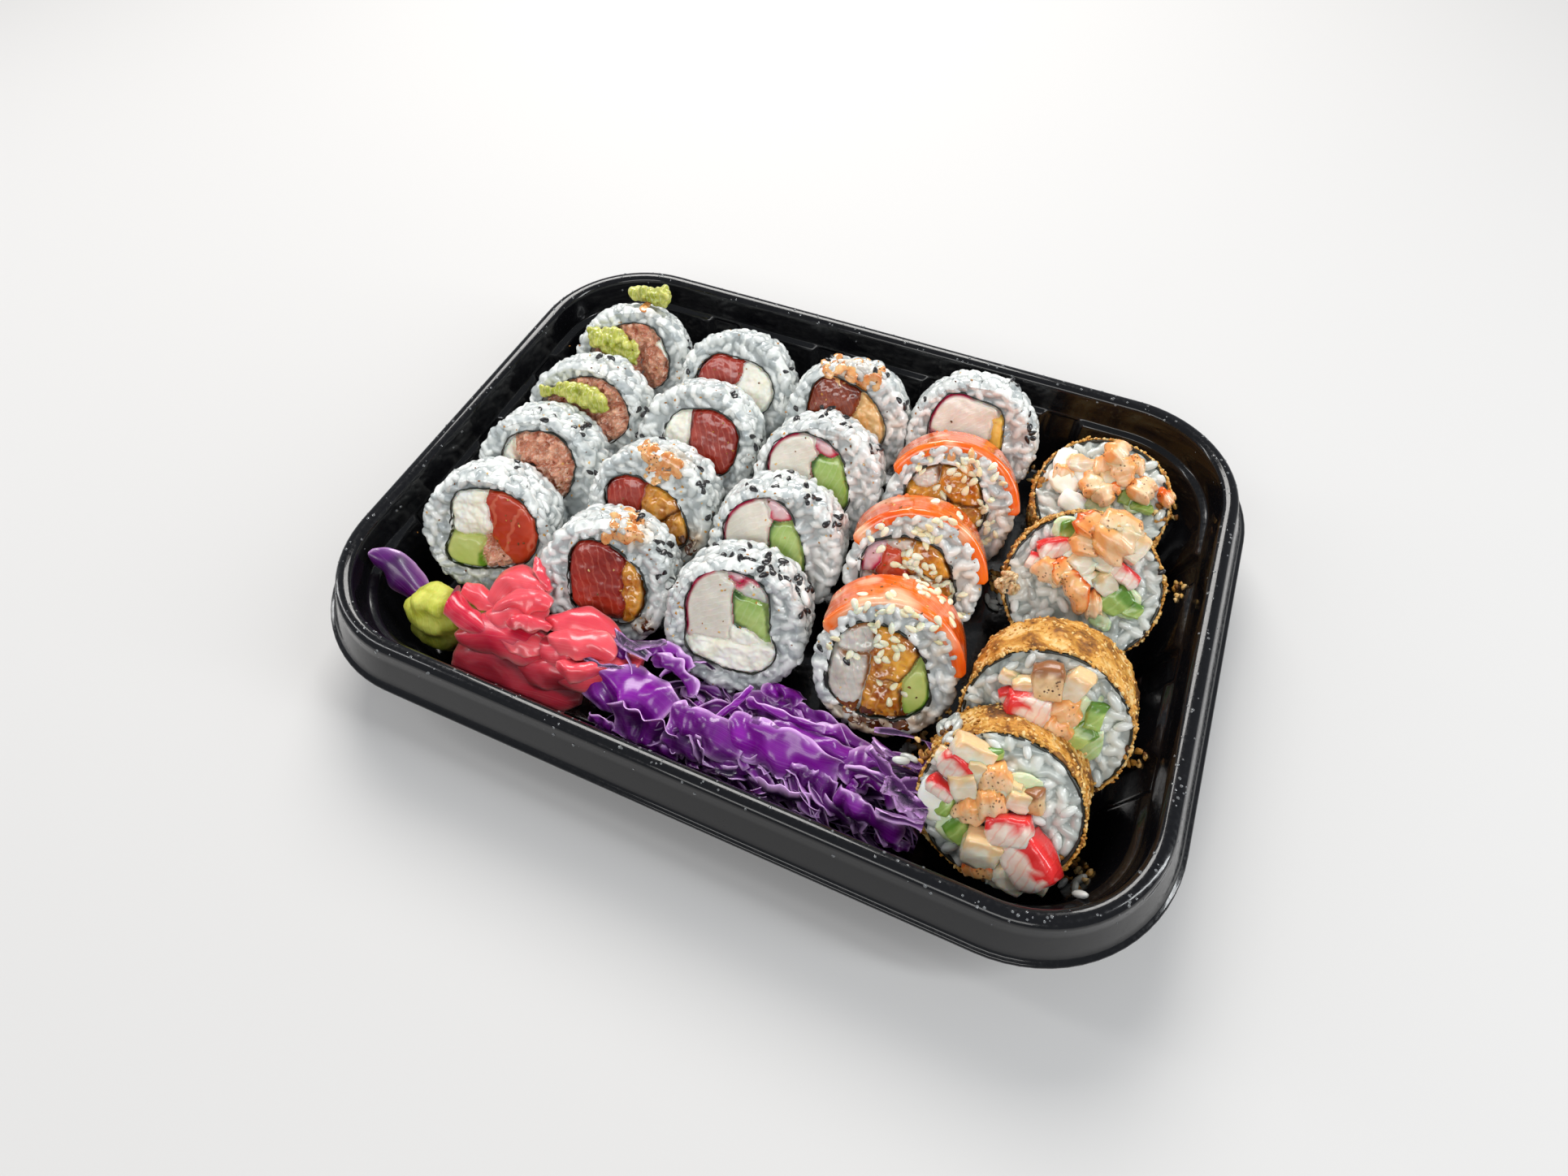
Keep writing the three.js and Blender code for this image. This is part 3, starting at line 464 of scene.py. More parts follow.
def rice_body(roll, tree, chance, count=250):
    """The rice as one mesh, from its back over its side to the seaweed."""
    angles = 2 * math.pi * np.arange(count) / count
    cos, sin = np.cos(angles), np.sin(angles)
    length, radius, sag = roll["length"], roll["body"], roll["sag"]
    sunk, dip = 0.95, 1.05  # how deep the body lies in its solid and in the face, so that the grains reach both
    profile = [(inset, sunk - length, -90) for inset in np.arange(radius - 1, 2.4, -1.1)]
    profile += [(1.9, 1.3 - length, -55), (1.2, 2.2 - length, -25)]
    profile += [(sunk, depth, 0) for depth in np.arange(3.0 - length, -4.4, 0.52)]
    profile += [(0.98, -4.1, 6), (1.15, -3.3, 18), (1.6, -2.4, 36), (2.2, -1.7, 55), (2.9, -1.2, 75)]
    loops, looks = [], []
    for inset, depth, look in profile:
        tilt = math.radians(look)
        across, up = rice_edge(roll, angles, inset, depth)
        loops.append(np.stack((across, up, depth + 0 * cos), axis=1))
        looks.append(np.stack((cos * math.cos(tilt), sin * math.cos(tilt), math.sin(tilt) + 0 * cos), axis=1))
    rim, lip = loops[-1] * (1, 1, 0), ring_points(roll, angles, 0.25, 0)
    for part in np.arange(1, 15) / 14:
        loops.append(rim * (1 - part) + lip * part - (0, 0, dip))
        looks.append(np.stack((0 * cos, 0 * cos, 1 + 0 * cos), axis=1))
    surface = in_place(roll, np.concatenate(loops))
    if "slice" not in roll:
        surface, _ = keep_within(tree, surface, sunk)
    normals = np.concatenate(looks) @ roll["axes"]
    seeds, facing = [], []
    rows, columns = round(length / 2.6), round(2 * math.pi * radius / 4.0)
    for row in range(rows):
        for column in range(columns):
            angle = 2 * math.pi * (column + 0.5 * (row % 2) + chance.uniform(-0.4, 0.4)) / columns
            depth = -length * (row + 0.5 + chance.uniform(-0.4, 0.4)) / rows
            inset, out = (1.5, 0.7) if depth > -2.4 else (sunk, 0)
            seeds.append((*rice_edge(roll, angle, inset, depth), depth))
            facing.append((math.cos(angle), math.sin(angle), out))
    edge = np.hypot(*rice_edge(roll, angles, 2.2, 0))
    for a, b in spread(lambda a, b: edge[round(math.atan2(b, a) / (2 * math.pi) * count) % count]
                       > math.hypot(a, b) > ring_reach(roll["ring"], a, b), radius + 1, 2.3, chance):
        seeds.append((a, b, -dip))
        facing.append((0, 0, 1))
    for a, b in spread(lambda a, b: math.hypot(a, b + sag) < radius - 2, radius, 3.0, chance):
        seeds.append((a, b, sunk - length))
        facing.append((0, 0, -1))
    seeds = in_place(roll, np.array(seeds, float))
    if "slice" not in roll:
        seeds, _ = keep_within(tree, seeds, sunk)
    facing = np.array(facing) @ roll["axes"]
    facing /= np.linalg.norm(facing, axis=1, keepdims=True)
    points, tones = pressed_grains(surface, normals, seeds, facing, GRAIN_SIZE, chance)
    deep = np.concatenate((ring_points(roll, angles, -0.1, -1.6), ring_points(roll, angles, -0.4, -4)))
    ends = [(0, 0, -4.2), (0, -sag, sunk - length)]
    vertices = np.concatenate((points, in_place(roll, deep), in_place(roll, ends)))
    faces, total = stitch(len(loops) + 2, count), (len(loops) + 2) * count
    for i in range(count):
        faces.append((total - count + i, total - count + (i + 1) % count, total))
        faces.append(((i + 1) % count, i, total + 1))
    return vertices, faces, np.concatenate((tones, [0.2] * (2 * count + 2)))


def ball_shape(segments, rings, reshape):
    """A ball lying along X as points and triangles, each point moved by reshape."""
    bm = bmesh.new()
    bmesh.ops.create_uvsphere(bm, u_segments=segments, v_segments=rings, radius=1)
    bmesh.ops.rotate(bm, verts=bm.verts, matrix=Matrix.Rotation(math.pi / 2, 3, "Y"))
    bmesh.ops.triangulate(bm, faces=bm.faces)
    bm.verts.index_update()
    points = np.array([reshape(*vertex.co) for vertex in bm.verts])
    triangles = np.array(sorted([vertex.index for vertex in face.verts] for face in bm.faces))
    bm.free()
    return points, triangles


def strew(shape, places, normals, chance, size=(0.85, 1.15), tilt=0.18):
    """Copies of a shape lying on a surface, each turned its own way. Returns the
    vertices, the faces, and for each vertex the number of its copy."""
    points, triangles = shape
    copies = []
    for place, normal in zip(places, normals):
        normal = np.asarray(normal) + tilt * np.array([chance.uniform(-1, 1) for _ in range(3)])
        normal /= np.linalg.norm(normal)
        heading = np.array([chance.gauss(0, 1) for _ in range(3)])
        along = heading - normal * heading.dot(normal)
        along /= np.linalg.norm(along)
        axes = np.stack((along, np.cross(normal, along), normal))
        scale = chance.uniform(*size) * np.array([chance.uniform(0.9, 1.1) for _ in range(3)])
        copies.append((points * scale) @ axes + place)
    offsets = np.arange(len(copies))[:, None, None] * len(points)
    faces = (triangles[None] + offsets).reshape(-1, triangles.shape[1])
    return np.concatenate(copies), faces.tolist(), np.repeat(np.arange(len(copies)), len(points))


def loose_places(roll, tree, count, chance):
    """Where single grains stand out of a roll's side and the rim of its face."""
    places, normals = [], []
    for _ in range(count):
        angle, depth = chance.uniform(0, 2 * math.pi), -chance.uniform(0.8, roll["length"] - 1)
        if "slice" in roll and 10 < math.degrees(angle) < 150:
            continue
        reach = roll["body"] - (1.3 if depth > -2 else 0.5)
        places.append((reach * math.cos(angle), reach * math.sin(angle) - roll["sag"], depth))
        normals.append((math.cos(angle), math.sin(angle), 0.8 if depth > -2 else 0))
    points, _ = keep_within(tree, in_place(roll, places), 0.5)
    return points, np.array(normals) @ roll["axes"]


def stain_of(name, places):
    """How far sauce has coloured the rice of a roll at each place."""
    spots = on_face(ROLLS[name], places)
    stain = np.zeros(len(places))
    for a, b, reach, strength in STAINS.get(name, ()):
        away = np.hypot(spots[:, 0] - a, spots[:, 1] - b) / reach + np.maximum(-spots[:, 2] - 9, 0) / 6
        stain = np.maximum(stain, strength * np.clip(1.6 * (1 - away), 0, 1))
    if stain.any():
        patchy = [0.75 + 0.5 * noise.noise(Vector(place) * 0.4) for place in places]
        stain *= np.array(patchy)
    return np.clip(stain, 0, 1)


def add_mix(tree, first=(0.5, 0.5, 0.5), second=(0.5, 0.5, 0.5)):
    """A node that mixes two colours."""
    return add_node(tree, "Mix", {"A": (*first, 1), "B": (*second, 1)}, data_type="RGBA")


def add_ramp(tree, *stops):
    """A ramp through colours, each given with its position."""
    ramp = add_node(tree, "ValToRGB")
    elements = ramp.color_ramp.elements
    elements[0].color, elements[1].color = (*stops[0][1], 1), (*stops[-1][1], 1)
    for position, color in stops[1:-1]:
        elements.new(position).color = (*color, 1)
    return ramp


def cloudy_tone(tree, cloud, gain, shift):
    """The tone of each piece with clouds over it, lowered by shift."""
    tone = add_node(tree, "Attribute", attribute_name="tone")
    total = add_node(tree, "Math", {1: gain}, operation="MULTIPLY_ADD")
    lowered = add_node(tree, "Math", {1: shift}, operation="SUBTRACT")
    wire(tree, (cloud, "Fac", total, 0), (tone, "Fac", total, 2), (total, "Value", lowered, 0))
    return lowered


def rice_material(name, deep, pale, weight):
    """Moist rice: each grain its own tone, darker in the hollows between grains
    as painted shade, cloudy, light passing a little way, and brown and glossy
    where sauce has run over it."""
    material = new_material(name, pale, 0.28, Subsurface_Weight=weight, Subsurface_Scale=0.004,
                            Subsurface_Radius=(1.0, 0.95, 0.9), Coat_Weight=0.6, Coat_Roughness=0.1)
    tree, cloud = material.node_tree, add_noise(material.node_tree, 420, 2)
    stain = add_node(tree, "Attribute", attribute_name="stain")
    mix = add_mix(tree, deep, pale)
    sauce = add_ramp(tree, (0, (0.95, 0.9, 0.84)), (0.45, linear(240, 184, 116)), (1, linear(116, 60, 20)))
    stained = add_node(tree, "Mix", data_type="RGBA", blend_type="MULTIPLY")
    shader = add_bump(tree, cloud, "Fac", 0.15, 0.0004)
    wire(tree, (cloudy_tone(tree, cloud, 0.3, 0), "Value", mix, "Factor"), (stain, "Fac", sauce, "Fac"),
         (stain, "Fac", stained, "Factor"), (mix, "Result", stained, "A"), (sauce, "Color", stained, "B"),
         (stained, "Result", shader, "Base Color"))
    return material


# One cooked grain: blunt, a little flat, 5 mm long.
GRAIN = ball_shape(8, 6, lambda x, y, z: (2.6 * x, (1.3 + 0.4 * x * x * (1 - x * x)) * y, 1.15 * z))

rice = rice_material("rice", linear(152, 161, 163), linear(242, 244, 239), 0.35)

for order, (name, roll) in enumerate(ROLLS.items()):
    settle(roll)
    chance = random.Random(100 + order)
    tree = solid_tree(f"roll_{name}")
    vertices, faces, tones = rice_body(roll, tree, chance)
    body = add_piece(f"rice_{name}", vertices, faces, rice, "rice", {"tone": tones, "stain": stain_of(name, vertices)})
    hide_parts(f"roll_{name}")
    vertices, faces, copy = strew(GRAIN, *loose_places(roll, tree, 64, chance), chance)
    tones = np.array([chance.uniform(0.3, 1) for _ in range(copy[-1] + 1)])
    values = {"tone": tones[copy], "stain": stain_of(name, vertices)}
    add_piece(f"loose_rice_{name}", vertices, faces, rice, "rice", values)

# ----------------
# The seaweed: a thin crisp sheet, near black, wound once round the filling.
# Its cut edge stands in the face as a dark uneven line.


def seaweed_band(roll, seed, thick):
    """The sheet's cut edge as a closed band round the ring."""
    count, chance = 140, random.Random(seed)
    angles = 2 * math.pi * np.arange(count) / count
    wide = np.array([max(0.3, 1 + 1.3 * noise_at(0.16 * i, seed, 0)) for i in range(count)]) * thick
    bend = np.array([0.5 * noise_at(0.3 * i, seed, 5) for i in range(count)])
    ragged = np.array([0.22 * math.sin(0.9 * i + seed) + 0.3 * chance.random() - 0.15 for i in range(count)])
    loops = [ring_points(roll, angles, part * wide + bend, low + ragged * (low > -1))
             for part, low in ((1, -3.5), (1, -0.6), (0.7, -0.3), (0.1, -0.3), (-0.1, -0.7), (-0.3, -4.4))]
    return in_place(roll, np.concatenate(loops)), stitch(6, count)


def seaweed_material():
    """Near black with a green tinge, slightly shiny, finely grained."""
    material = new_material("seaweed", (0.006, 0.008, 0.006), 0.38, Coat_Weight=0.25, Coat_Roughness=0.2)
    tree, grain = material.node_tree, add_noise(material.node_tree, 700, 3)
    mix = add_mix(tree, (0.003, 0.004, 0.003), (0.02, 0.024, 0.014))
    shader = add_bump(tree, grain, "Fac", 0.6, 0.0005)
    wire(tree, (grain, "Fac", mix, "Factor"), (mix, "Result", shader, "Base Color"))
    return material


seaweed = seaweed_material()
for order, (name, roll) in enumerate(ROLLS.items()):
    add_piece(f"seaweed_{name}", *seaweed_band(roll, order, 0.8 if "slice" in roll else 0.34), seaweed, "rice")

# ----------------
# The fillings: cut bars of fish, crab stick, cucumber, avocado, omelette and
# cream cheese, pressed together in the seaweed. The knife leaves them flat,
# each with its own relief, with a crease where one meets the next.


def food_group():
    """Shared by the foods: two tones in clouds, fine lines in a third, dark
    specks, and the height of it all for a bump."""
    group = bpy.data.node_groups.new("food_tones", "ShaderNodeTree")
    for kind, labels in (("Color", ("Dark", "Light", "Line", "Skin")),
                         ("Float", ("Scale", "Line Scale", "Line Amount", "Speck Amount")),
                         ("Vector", ("Direction",))):
        for label in labels:
            group.interface.new_socket(label, in_out="INPUT", socket_type=f"NodeSocket{kind}")
    for label, kind in (("Color", "Color"), ("Height", "Float")):
        group.interface.new_socket(label, in_out="OUTPUT", socket_type=f"NodeSocket{kind}")
    entry, leave = group.nodes.new("NodeGroupInput"), group.nodes.new("NodeGroupOutput")
    cloud = add_noise(group, 1, 4, Roughness=0.6)
    contrast = add_node(group, "MapRange", {"From Min": 0.35, "From Max": 0.68})
    tones, drawn, skinned, charred = (add_mix(group, second=(0.09, 0.028, 0.008)) for _ in range(4))
    turn = add_node(group, "VectorRotate", rotation_type="EULER_XYZ")
    lines = add_node(group, "TexWave", {"Distortion": 3.5, "Detail": 2, "Detail Scale": 1.2})
    sharp = add_node(group, "MapRange", {"From Min": 0.8, "From Max": 0.98})
    amount, dotted, speck = (add_node(group, "Math", operation="MULTIPLY") for _ in range(3))
    skin = add_node(group, "Attribute", attribute_name="skin")
    dots = add_noise(group, 900, 0, "TexVoronoi")
    near = add_node(group, "MapRange", {"From Min": 0.34, "From Max": 0.22})
    where = add_noise(group, 230, 1)
    grouped = add_node(group, "MapRange", {"From Min": 0.5, "From Max": 0.6})
    height = add_node(group, "Math", operation="ADD")
    wire(group, (add_node(group, "TexCoord"), "Object", turn, "Vector"), (entry, "Scale", cloud, "Scale"),
         (cloud, "Fac", contrast, "Value"), (contrast, "Result", tones, "Factor"), (entry, "Dark", tones, "A"),
         (entry, "Light", tones, "B"), (entry, "Direction", turn, "Rotation"), (turn, "Vector", lines, "Vector"),
         (entry, "Line Scale", lines, "Scale"), (lines, "Fac", sharp, "Value"), (sharp, "Result", amount, 0),
         (entry, "Line Amount", amount, 1), (amount, "Value", drawn, "Factor"), (tones, "Result", drawn, "A"),
         (entry, "Line", drawn, "B"), (skin, "Fac", skinned, "Factor"), (drawn, "Result", skinned, "A"),
         (entry, "Skin", skinned, "B"), (dots, "Distance", near, "Value"), (where, "Fac", grouped, "Value"),
         (near, "Result", dotted, 0), (grouped, "Result", dotted, 1), (dotted, "Value", speck, 0),
         (entry, "Speck Amount", speck, 1), (speck, "Value", charred, "Factor"), (skinned, "Result", charred, "A"),
         (cloud, "Fac", height, 0), (amount, "Value", height, 1), (charred, "Result", leave, "Color"),
         (height, "Value", leave, "Height"))
    return group


FOOD_TONES = food_group()


def food(name, dark, light, scale, roughness, lines=((0, 0, 0), 100, 0, (0, 0, 0)), skin=None, specks=0, relief=0.6,
         coat=(0, 0.03), under=0.2):
    """A food's material, kept in FOODS: the tones and scale of its clouds, the
    tone, scale, amount and direction of its lines, its skin's tone, its relief
    in millimetres, its coat's weight and roughness, and the light under it."""
    material = new_material(name, linear(*light), roughness, Subsurface_Weight=under, Subsurface_Scale=0.002,
                            Coat_Weight=coat[0], Coat_Roughness=coat[1])
    tree, (line, line_scale, amount, direction) = material.node_tree, lines
    colors = {"Dark": dark, "Light": light, "Line": line, "Skin": skin or light}
    group = add_node(tree, "Group", {
        **{socket: (*linear(*color), 1) for socket, color in colors.items()}, "Scale": scale, "Line Scale": line_scale,
        "Line Amount": amount, "Speck Amount": specks, "Direction": [math.radians(angle) for angle in direction],
    }, node_tree=FOOD_TONES)
    wire(tree, (group, "Color", add_bump(tree, group, "Height", 0.5, relief * 0.001), "Base Color"))
    FOODS[name] = material
    return material


FOODS = {}
food("tuna", (124, 28, 20), (182, 60, 42), 60, 0.24, ((214, 116, 92), 240, 0.25, (20, 30, 35)), skin=(70, 20, 16),
     relief=0.3, coat=(0.45, 0.14))
food("glazed_tuna", (88, 30, 14), (150, 62, 32), 70, 0.2, ((196, 104, 60), 240, 0.2, (20, 30, -35)), relief=0.3,
     coat=(0.7, 0.08))
food("salmon", (176, 50, 26), (208, 76, 42), 60, 0.24, ((226, 130, 96), 150, 0.45, (10, 30, 55)), relief=0.3,
     coat=(0.4, 0.14))
food("cooked_salmon", (180, 100, 72), (244, 184, 152), 300, 0.45, ((252, 226, 206), 260, 0.5, (0, 40, 20)),
     relief=0.8)
food("cream_cheese", (250, 243, 220), (255, 254, 244), 200, 0.36, relief=0.4, under=0.3)
food("avocado", (168, 190, 92), (206, 212, 128), 60, 0.3, skin=(112, 160, 44), relief=0.3, coat=(0.3, 0.2))
food("cucumber", (140, 178, 78), (188, 208, 128), 90, 0.2, ((214, 226, 180), 170, 0.15, (0, 0, 20)),
     skin=(46, 88, 30), relief=0.3, coat=(0.5, 0.1))
food("crab", (222, 214, 198), (246, 240, 226), 120, 0.26, ((246, 240, 232), 300, 0.2, (0, 0, 60)), skin=(208, 30, 84),
     relief=0.3, coat=(0.5, 0.12), under=0.4)
food("pink_crab", (214, 168, 174), (230, 196, 198), 120, 0.25, skin=(206, 40, 84), relief=0.3, coat=(0.5, 0.1),
     under=0.4)
food("clear_crab", (196, 196, 184), (220, 218, 208), 120, 0.22, skin=(214, 90, 112), relief=0.3, coat=(0.6, 0.1),
     under=0.5)
food("omelette", (232, 178, 66), (246, 206, 104), 200, 0.4, relief=0.4)
food("creamy", (226, 158, 72), (244, 214, 158), 150, 0.3, relief=0.5, coat=(0.4, 0.03))
food("amber", (158, 78, 6), (250, 180, 66), 150, 0.14, ((244, 206, 130), 150, 0.2, (30, 0, 40)), skin=(92, 48, 10),
     relief=0.4, coat=(0.9, 0.06), under=0.3)
food("shrimp", (196, 188, 176), (232, 228, 218), 110, 0.2, ((238, 206, 190), 130, 0.2, (0, 30, 0)),
     skin=(150, 96, 50), relief=0.4, coat=(0.8, 0.08), under=0.4)
food("soy_pool", (62, 28, 8), (142, 80, 28), 150, 0.12, relief=0.3, coat=(1, 0.04))
# How deep each food's relief is in millimetres, and how long its waves are.
RELIEF = {"tuna": (0.35, 6), "glazed_tuna": (0.4, 5), "salmon": (0.3, 7), "cooked_salmon": (2.3, 2.3),
          "cream_cheese": (0.9, 4.6), "avocado": (0.25, 7), "cucumber": (0.2, 6), "crab": (0.25, 7),
          "pink_crab": (0.4, 5), "clear_crab": (0.6, 4), "omelette": (0.3, 4), "creamy": (1.0, 5),
          "amber": (1.1, 6), "shrimp": (0.9, 6)}
# The side of a piece that its skin is on, across and up; the others have none.
SKIN_SIDE = {"crab": (-0.9, 0.5), "pink_crab": (0.1, -1), "cucumber": (-1, 0.1), "avocado": (0.5, -0.9),
             "tuna": (-0.8, -0.4), "amber": (0.8, -0.6), "clear_crab": (-0.9, 0.5), "shrimp": (0.6, 0.8)}

# Per piece: kind, across, up, width, height, turn, how proud of the face, and
# how square its outline is.
FILLINGS = {
    "a1": (("cooked_salmon", 5, 12, 15, 10, -15, 0.8, 0.2), ("cooked_salmon", 9.5, 0, 9, 14, 10, 0.6, 0.2),
           ("cream_cheese", 11.5, 5, 5, 12, 20, 0.3, 0.3), ("cooked_salmon", -6, 3, 14, 16, 0, 0, 0.3)),
    "a2": (("cooked_salmon", 3, 12, 18, 8, -12, 0.8, 0.3), ("cooked_salmon", 11, 1, 12, 12, 10, 0.6, 0.3),
           ("cooked_salmon", -5, 1, 16, 12, 0, 0, 0.3)),
    "a3": (("cooked_salmon", 4, 10, 17, 13, 0, 0.9, 0.3), ("cooked_salmon", 7, 1, 15, 12, 0, 0.7, 0.3),
           ("cooked_salmon", -3, -2, 13, 10, 0, 0.6, 0.3), ("cream_cheese", -9.5, 3, 5, 10, 15, 0.5, 0.3)),
    "a4": (("cream_cheese", -4, 9, 13, 15, 8, 0.8, 0.4), ("avocado", -7.6, -6, 12, 9.6, -7, 0.5, 0.9),
           ("salmon", 10, 3.5, 15, 24, 12, 0.8, 0.55), ("cooked_salmon", 3.5, -7, 10, 8, -20, 0.5, 0.4)),
    "b1": (("tuna", -5.5, 8.5, 16.5, 12, -8, 0.8, 0.45), ("cream_cheese", 8, 2.5, 14.5, 18, -20, 0.7, 0.35),
           ("cream_cheese", -5, -4, 14, 10, 0, 0.2, 0.35)),
    "b2": (("cream_cheese", -6.5, 6, 10, 15, -15, 0.7, 0.35), ("tuna", 6.5, 3, 18, 23, 8, 0.9, 0.5),
           ("cream_cheese", -6, -5, 10, 9, 0, 0.3, 0.35)),
    "b3": (("tuna", -8, 6, 12.5, 15, 0, 0.7, 0.55), ("amber", 3.5, 3, 12, 12, -25, 0.7, 0.45),
           ("tuna", -5, -6, 13, 10, 0, 0.3, 0.4), ("amber", 9, -5, 11, 11, 0, 0.6, 0.3)),
    "b4": (("tuna", -2, 3, 17.5, 25, 6, 0.8, 0.55), ("amber", 9.2, -3, 8.5, 21, 10, 1, 0.35)),
    "c1": (("glazed_tuna", -5, 10, 18, 13, -6, 1, 0.45), ("creamy", 8.5, 4, 13.5, 18, -18, 0.8, 0.35),
           ("glazed_tuna", -5, -2, 14, 9, 0, 0.1, 0.35)),
    "c2": (("crab", -9, 8, 15, 18, -4, 0.6, 0.75), ("pink_crab", 2, 14, 8.5, 6, -20, 0.7, 0.4),
           ("cucumber", 4.5, 2.5, 12, 16, 14, 0.5, 0.7), ("cream_cheese", -4, -6, 18, 8, 0, 0.2, 0.35)),
    "c3": (("crab", -9, 8, 14, 18, -4, 0.6, 0.75), ("pink_crab", 0.5, 15, 8.5, 7, -6, 0.7, 0.4),
           ("cucumber", 4, 2, 11, 17, 14, 0.5, 0.7), ("cream_cheese", -4, -6, 18, 8, 0, 0.2, 0.35)),
    "c4": (("crab", -8, 6.5, 14, 24, 0, 0.6, 0.8), ("pink_crab", 0, 17.5, 8, 5, -4, 0.7, 0.4),
           ("clear_crab", 5.5, 14, 10, 8, -30, 0.6, 0.3), ("cucumber", 4.2, 4.5, 9.5, 15, 10, 0.4, 0.7),
           ("cream_cheese", -1, -9, 29, 11, -4, 0.9, 0.45), ("cream_cheese", 3.5, -2, 8, 9, 40, 0.8, 0.3)),
    "d1": (("crab", -3.5, 9.5, 22, 15, 4, 0.7, 0.75), ("omelette", 8.6, 5, 6, 14, 8, 0.6, 0.6),
           ("crab", -6, -2, 16, 8, 0, 0.2, 0.4)),
    "d2": (("shrimp", -9, 9, 7, 8, 30, 0.9, 0.25), ("amber", -6, 1, 14, 13, 10, 0.9, 0.25),
           ("amber", 3.5, 8, 14, 12, -20, 1.3, 0.25), ("amber", 4, -3, 14, 11, 0, 0.7, 0.25),
           ("amber", -4, -8, 12, 8, 0, 0.4, 0.25)),
    "d3": (("pink_crab", -12.5, 6.5, 7, 8, 10, 0.9, 0.4), ("salmon", -6.5, 3, 8, 14, 25, 0.7, 0.4),
           ("shrimp", -4, 11, 9, 5, 10, 0.9, 0.3), ("amber", 4, 7, 15, 11, -15, 1.2, 0.25),
           ("amber", 4, -5, 15, 13, 0, 0.8, 0.25), ("shrimp", -8, -6, 12, 9, 0, 0.5, 0.3)),
    "d4": (("shrimp", -9.5, 9.5, 11, 11, 20, 1.1, 0.35), ("shrimp", -10, -4, 11, 17, 0, 1, 0.4),
           ("amber", 1.5, 4.5, 12, 17, 0, 1.4, 0.3), ("amber", 0.5, -8, 13, 12, 0, 1.2, 0.3),
           ("avocado", 9, -5, 8, 13, 14, 0.8, 0.7)),
}


def pressed_fillings(roll, pieces, seed, step=0.36):
    """The face within the seaweed as one relief, each spot given to the piece
    that is nearest. Returns vertices, faces, skin and each face's piece."""
    far = max(roll["ring"]) + 1
    a = b = np.arange(-far, far + step, step)
    grid_a, grid_b = np.meshgrid(a, b, indexing="ij")
    ring = np.hypot(grid_a, grid_b) / ring_reach(roll["ring"], grid_a, grid_b)
    inside = (1 / np.maximum(ring, 0.05) - 1) * np.hypot(grid_a, grid_b)
    bends = [noise.noise_vector(Vector((0.35 * x, 0.35 * y, seed))) for x, y in zip(grid_a.flat, grid_b.flat)]
    bends = np.array(bends).reshape(*grid_a.shape, 3) * 0.9
    away, skins, heights = [], [], []
    for number, (kind, pa, pb, w, h, turn, proud, square) in enumerate(pieces):
        cos, sin = math.cos(math.radians(turn)), math.sin(math.radians(turn))
        x, y = grid_a - pa + bends[..., 0], grid_b - pb + bends[..., 1]
        u, v = 2 * (cos * x + sin * y) / w, 2 * (cos * y - sin * x) / h
        power = 2 + 6 * square
        reach = (np.abs(u) ** power + np.abs(v) ** power) ** (1 / power)
        away.append((reach - 1) * min(w, h) / 2)
        side = SKIN_SIDE.get(kind, (0, 0))
        facing = (u * side[0] + v * side[1]) / np.maximum(np.hypot(u, v), 0.1)
        skins.append(np.clip(facing * 3 - 0.3, 0, 1) if kind in SKIN_SIDE else np.zeros_like(u))
        depth, length = RELIEF[kind]
        waves = [noise.fractal(Vector((x / length, y / length, 7 * seed + number)), 0.8, 2.0, 3)
                 for x, y in zip(grid_a.flat, grid_b.flat)]
        heights.append(proud + depth * (np.array(waves).reshape(u.shape) - 0.2) - 0.5 * np.minimum(reach, 1.2) ** 2)
    away, skins, heights = np.array(away), np.array(skins), np.array(heights)
    ranked = np.sort(away, axis=0)
    kind_here = np.argmin(away, axis=0)
    meeting = (ranked[1] - ranked[0]) / 2
    height = np.take_along_axis(heights, kind_here[None], 0)[0]
    crease, border = np.exp(-((meeting / 0.4) ** 2)), np.exp(-((np.maximum(inside, 0) / 0.7) ** 2))
    height -= crease + 0.8 * np.clip(ranked[0], 0, 2)
    height -= 1.1 * border
    skin = np.take_along_axis(skins, kind_here[None], 0)[0]
    skin = skin * np.clip(1.6 - np.minimum(meeting, np.maximum(inside, 0)) / 0.85, 0, 1)
    snap = np.where(ring > 1, 1 / ring, 1)
    points = np.stack((grid_a * snap, grid_b * snap, height - 0.6), axis=-1)
    faces, kinds, rows = [], [], len(b)
    for i in range(len(a) - 1):
        for j in range(rows - 1):
            if (ring[i:i + 2, j:j + 2] < 1).any():
                corner = i * rows + j
                faces.append((corner, corner + rows, corner + rows + 1, corner + 1))
                kinds.append(kind_here[i, j])
    return in_place(roll, points.reshape(-1, 3)), faces, skin.ravel(), kinds


for order, (name, pieces) in enumerate(FILLINGS.items()):
    vertices, faces, skin, kinds = pressed_fillings(ROLLS[name], pieces, order + 0.5)
    materials = [FOODS[piece[0]] for piece in pieces]
    add_piece(f"fillings_{name}", vertices, faces, materials, "chopped", {"skin": skin}, kinds)

# ----------------
# The salmon slices: thin raw fish draped over three of the rolls, with pale
# fat lines across it. Each slice wraps the outside and hangs down both sides.


def slab_faces(columns, rows):
    """Two layers of quads over a grid, and the quads that close their rim."""
    step, faces = rows + 1, []
    layer = (columns + 1) * step
    for corner in (i * step + j for i in range(columns) for j in range(rows)):
        quad = (corner, corner + step, corner + step + 1, corner + 1)
        faces += [quad, tuple(layer + index for index in reversed(quad))]
    rim = [(i * step, (i + 1) * step) for i in range(columns)]
    rim += [(columns * step + j, columns * step + j + 1) for j in range(rows)]
    rim += [((i + 1) * step + rows, i * step + rows) for i in range(columns)]
    rim += [(j + 1, j) for j in range(rows)]
    return faces + [(first, first + layer, second + layer, second) for first, second in rim]


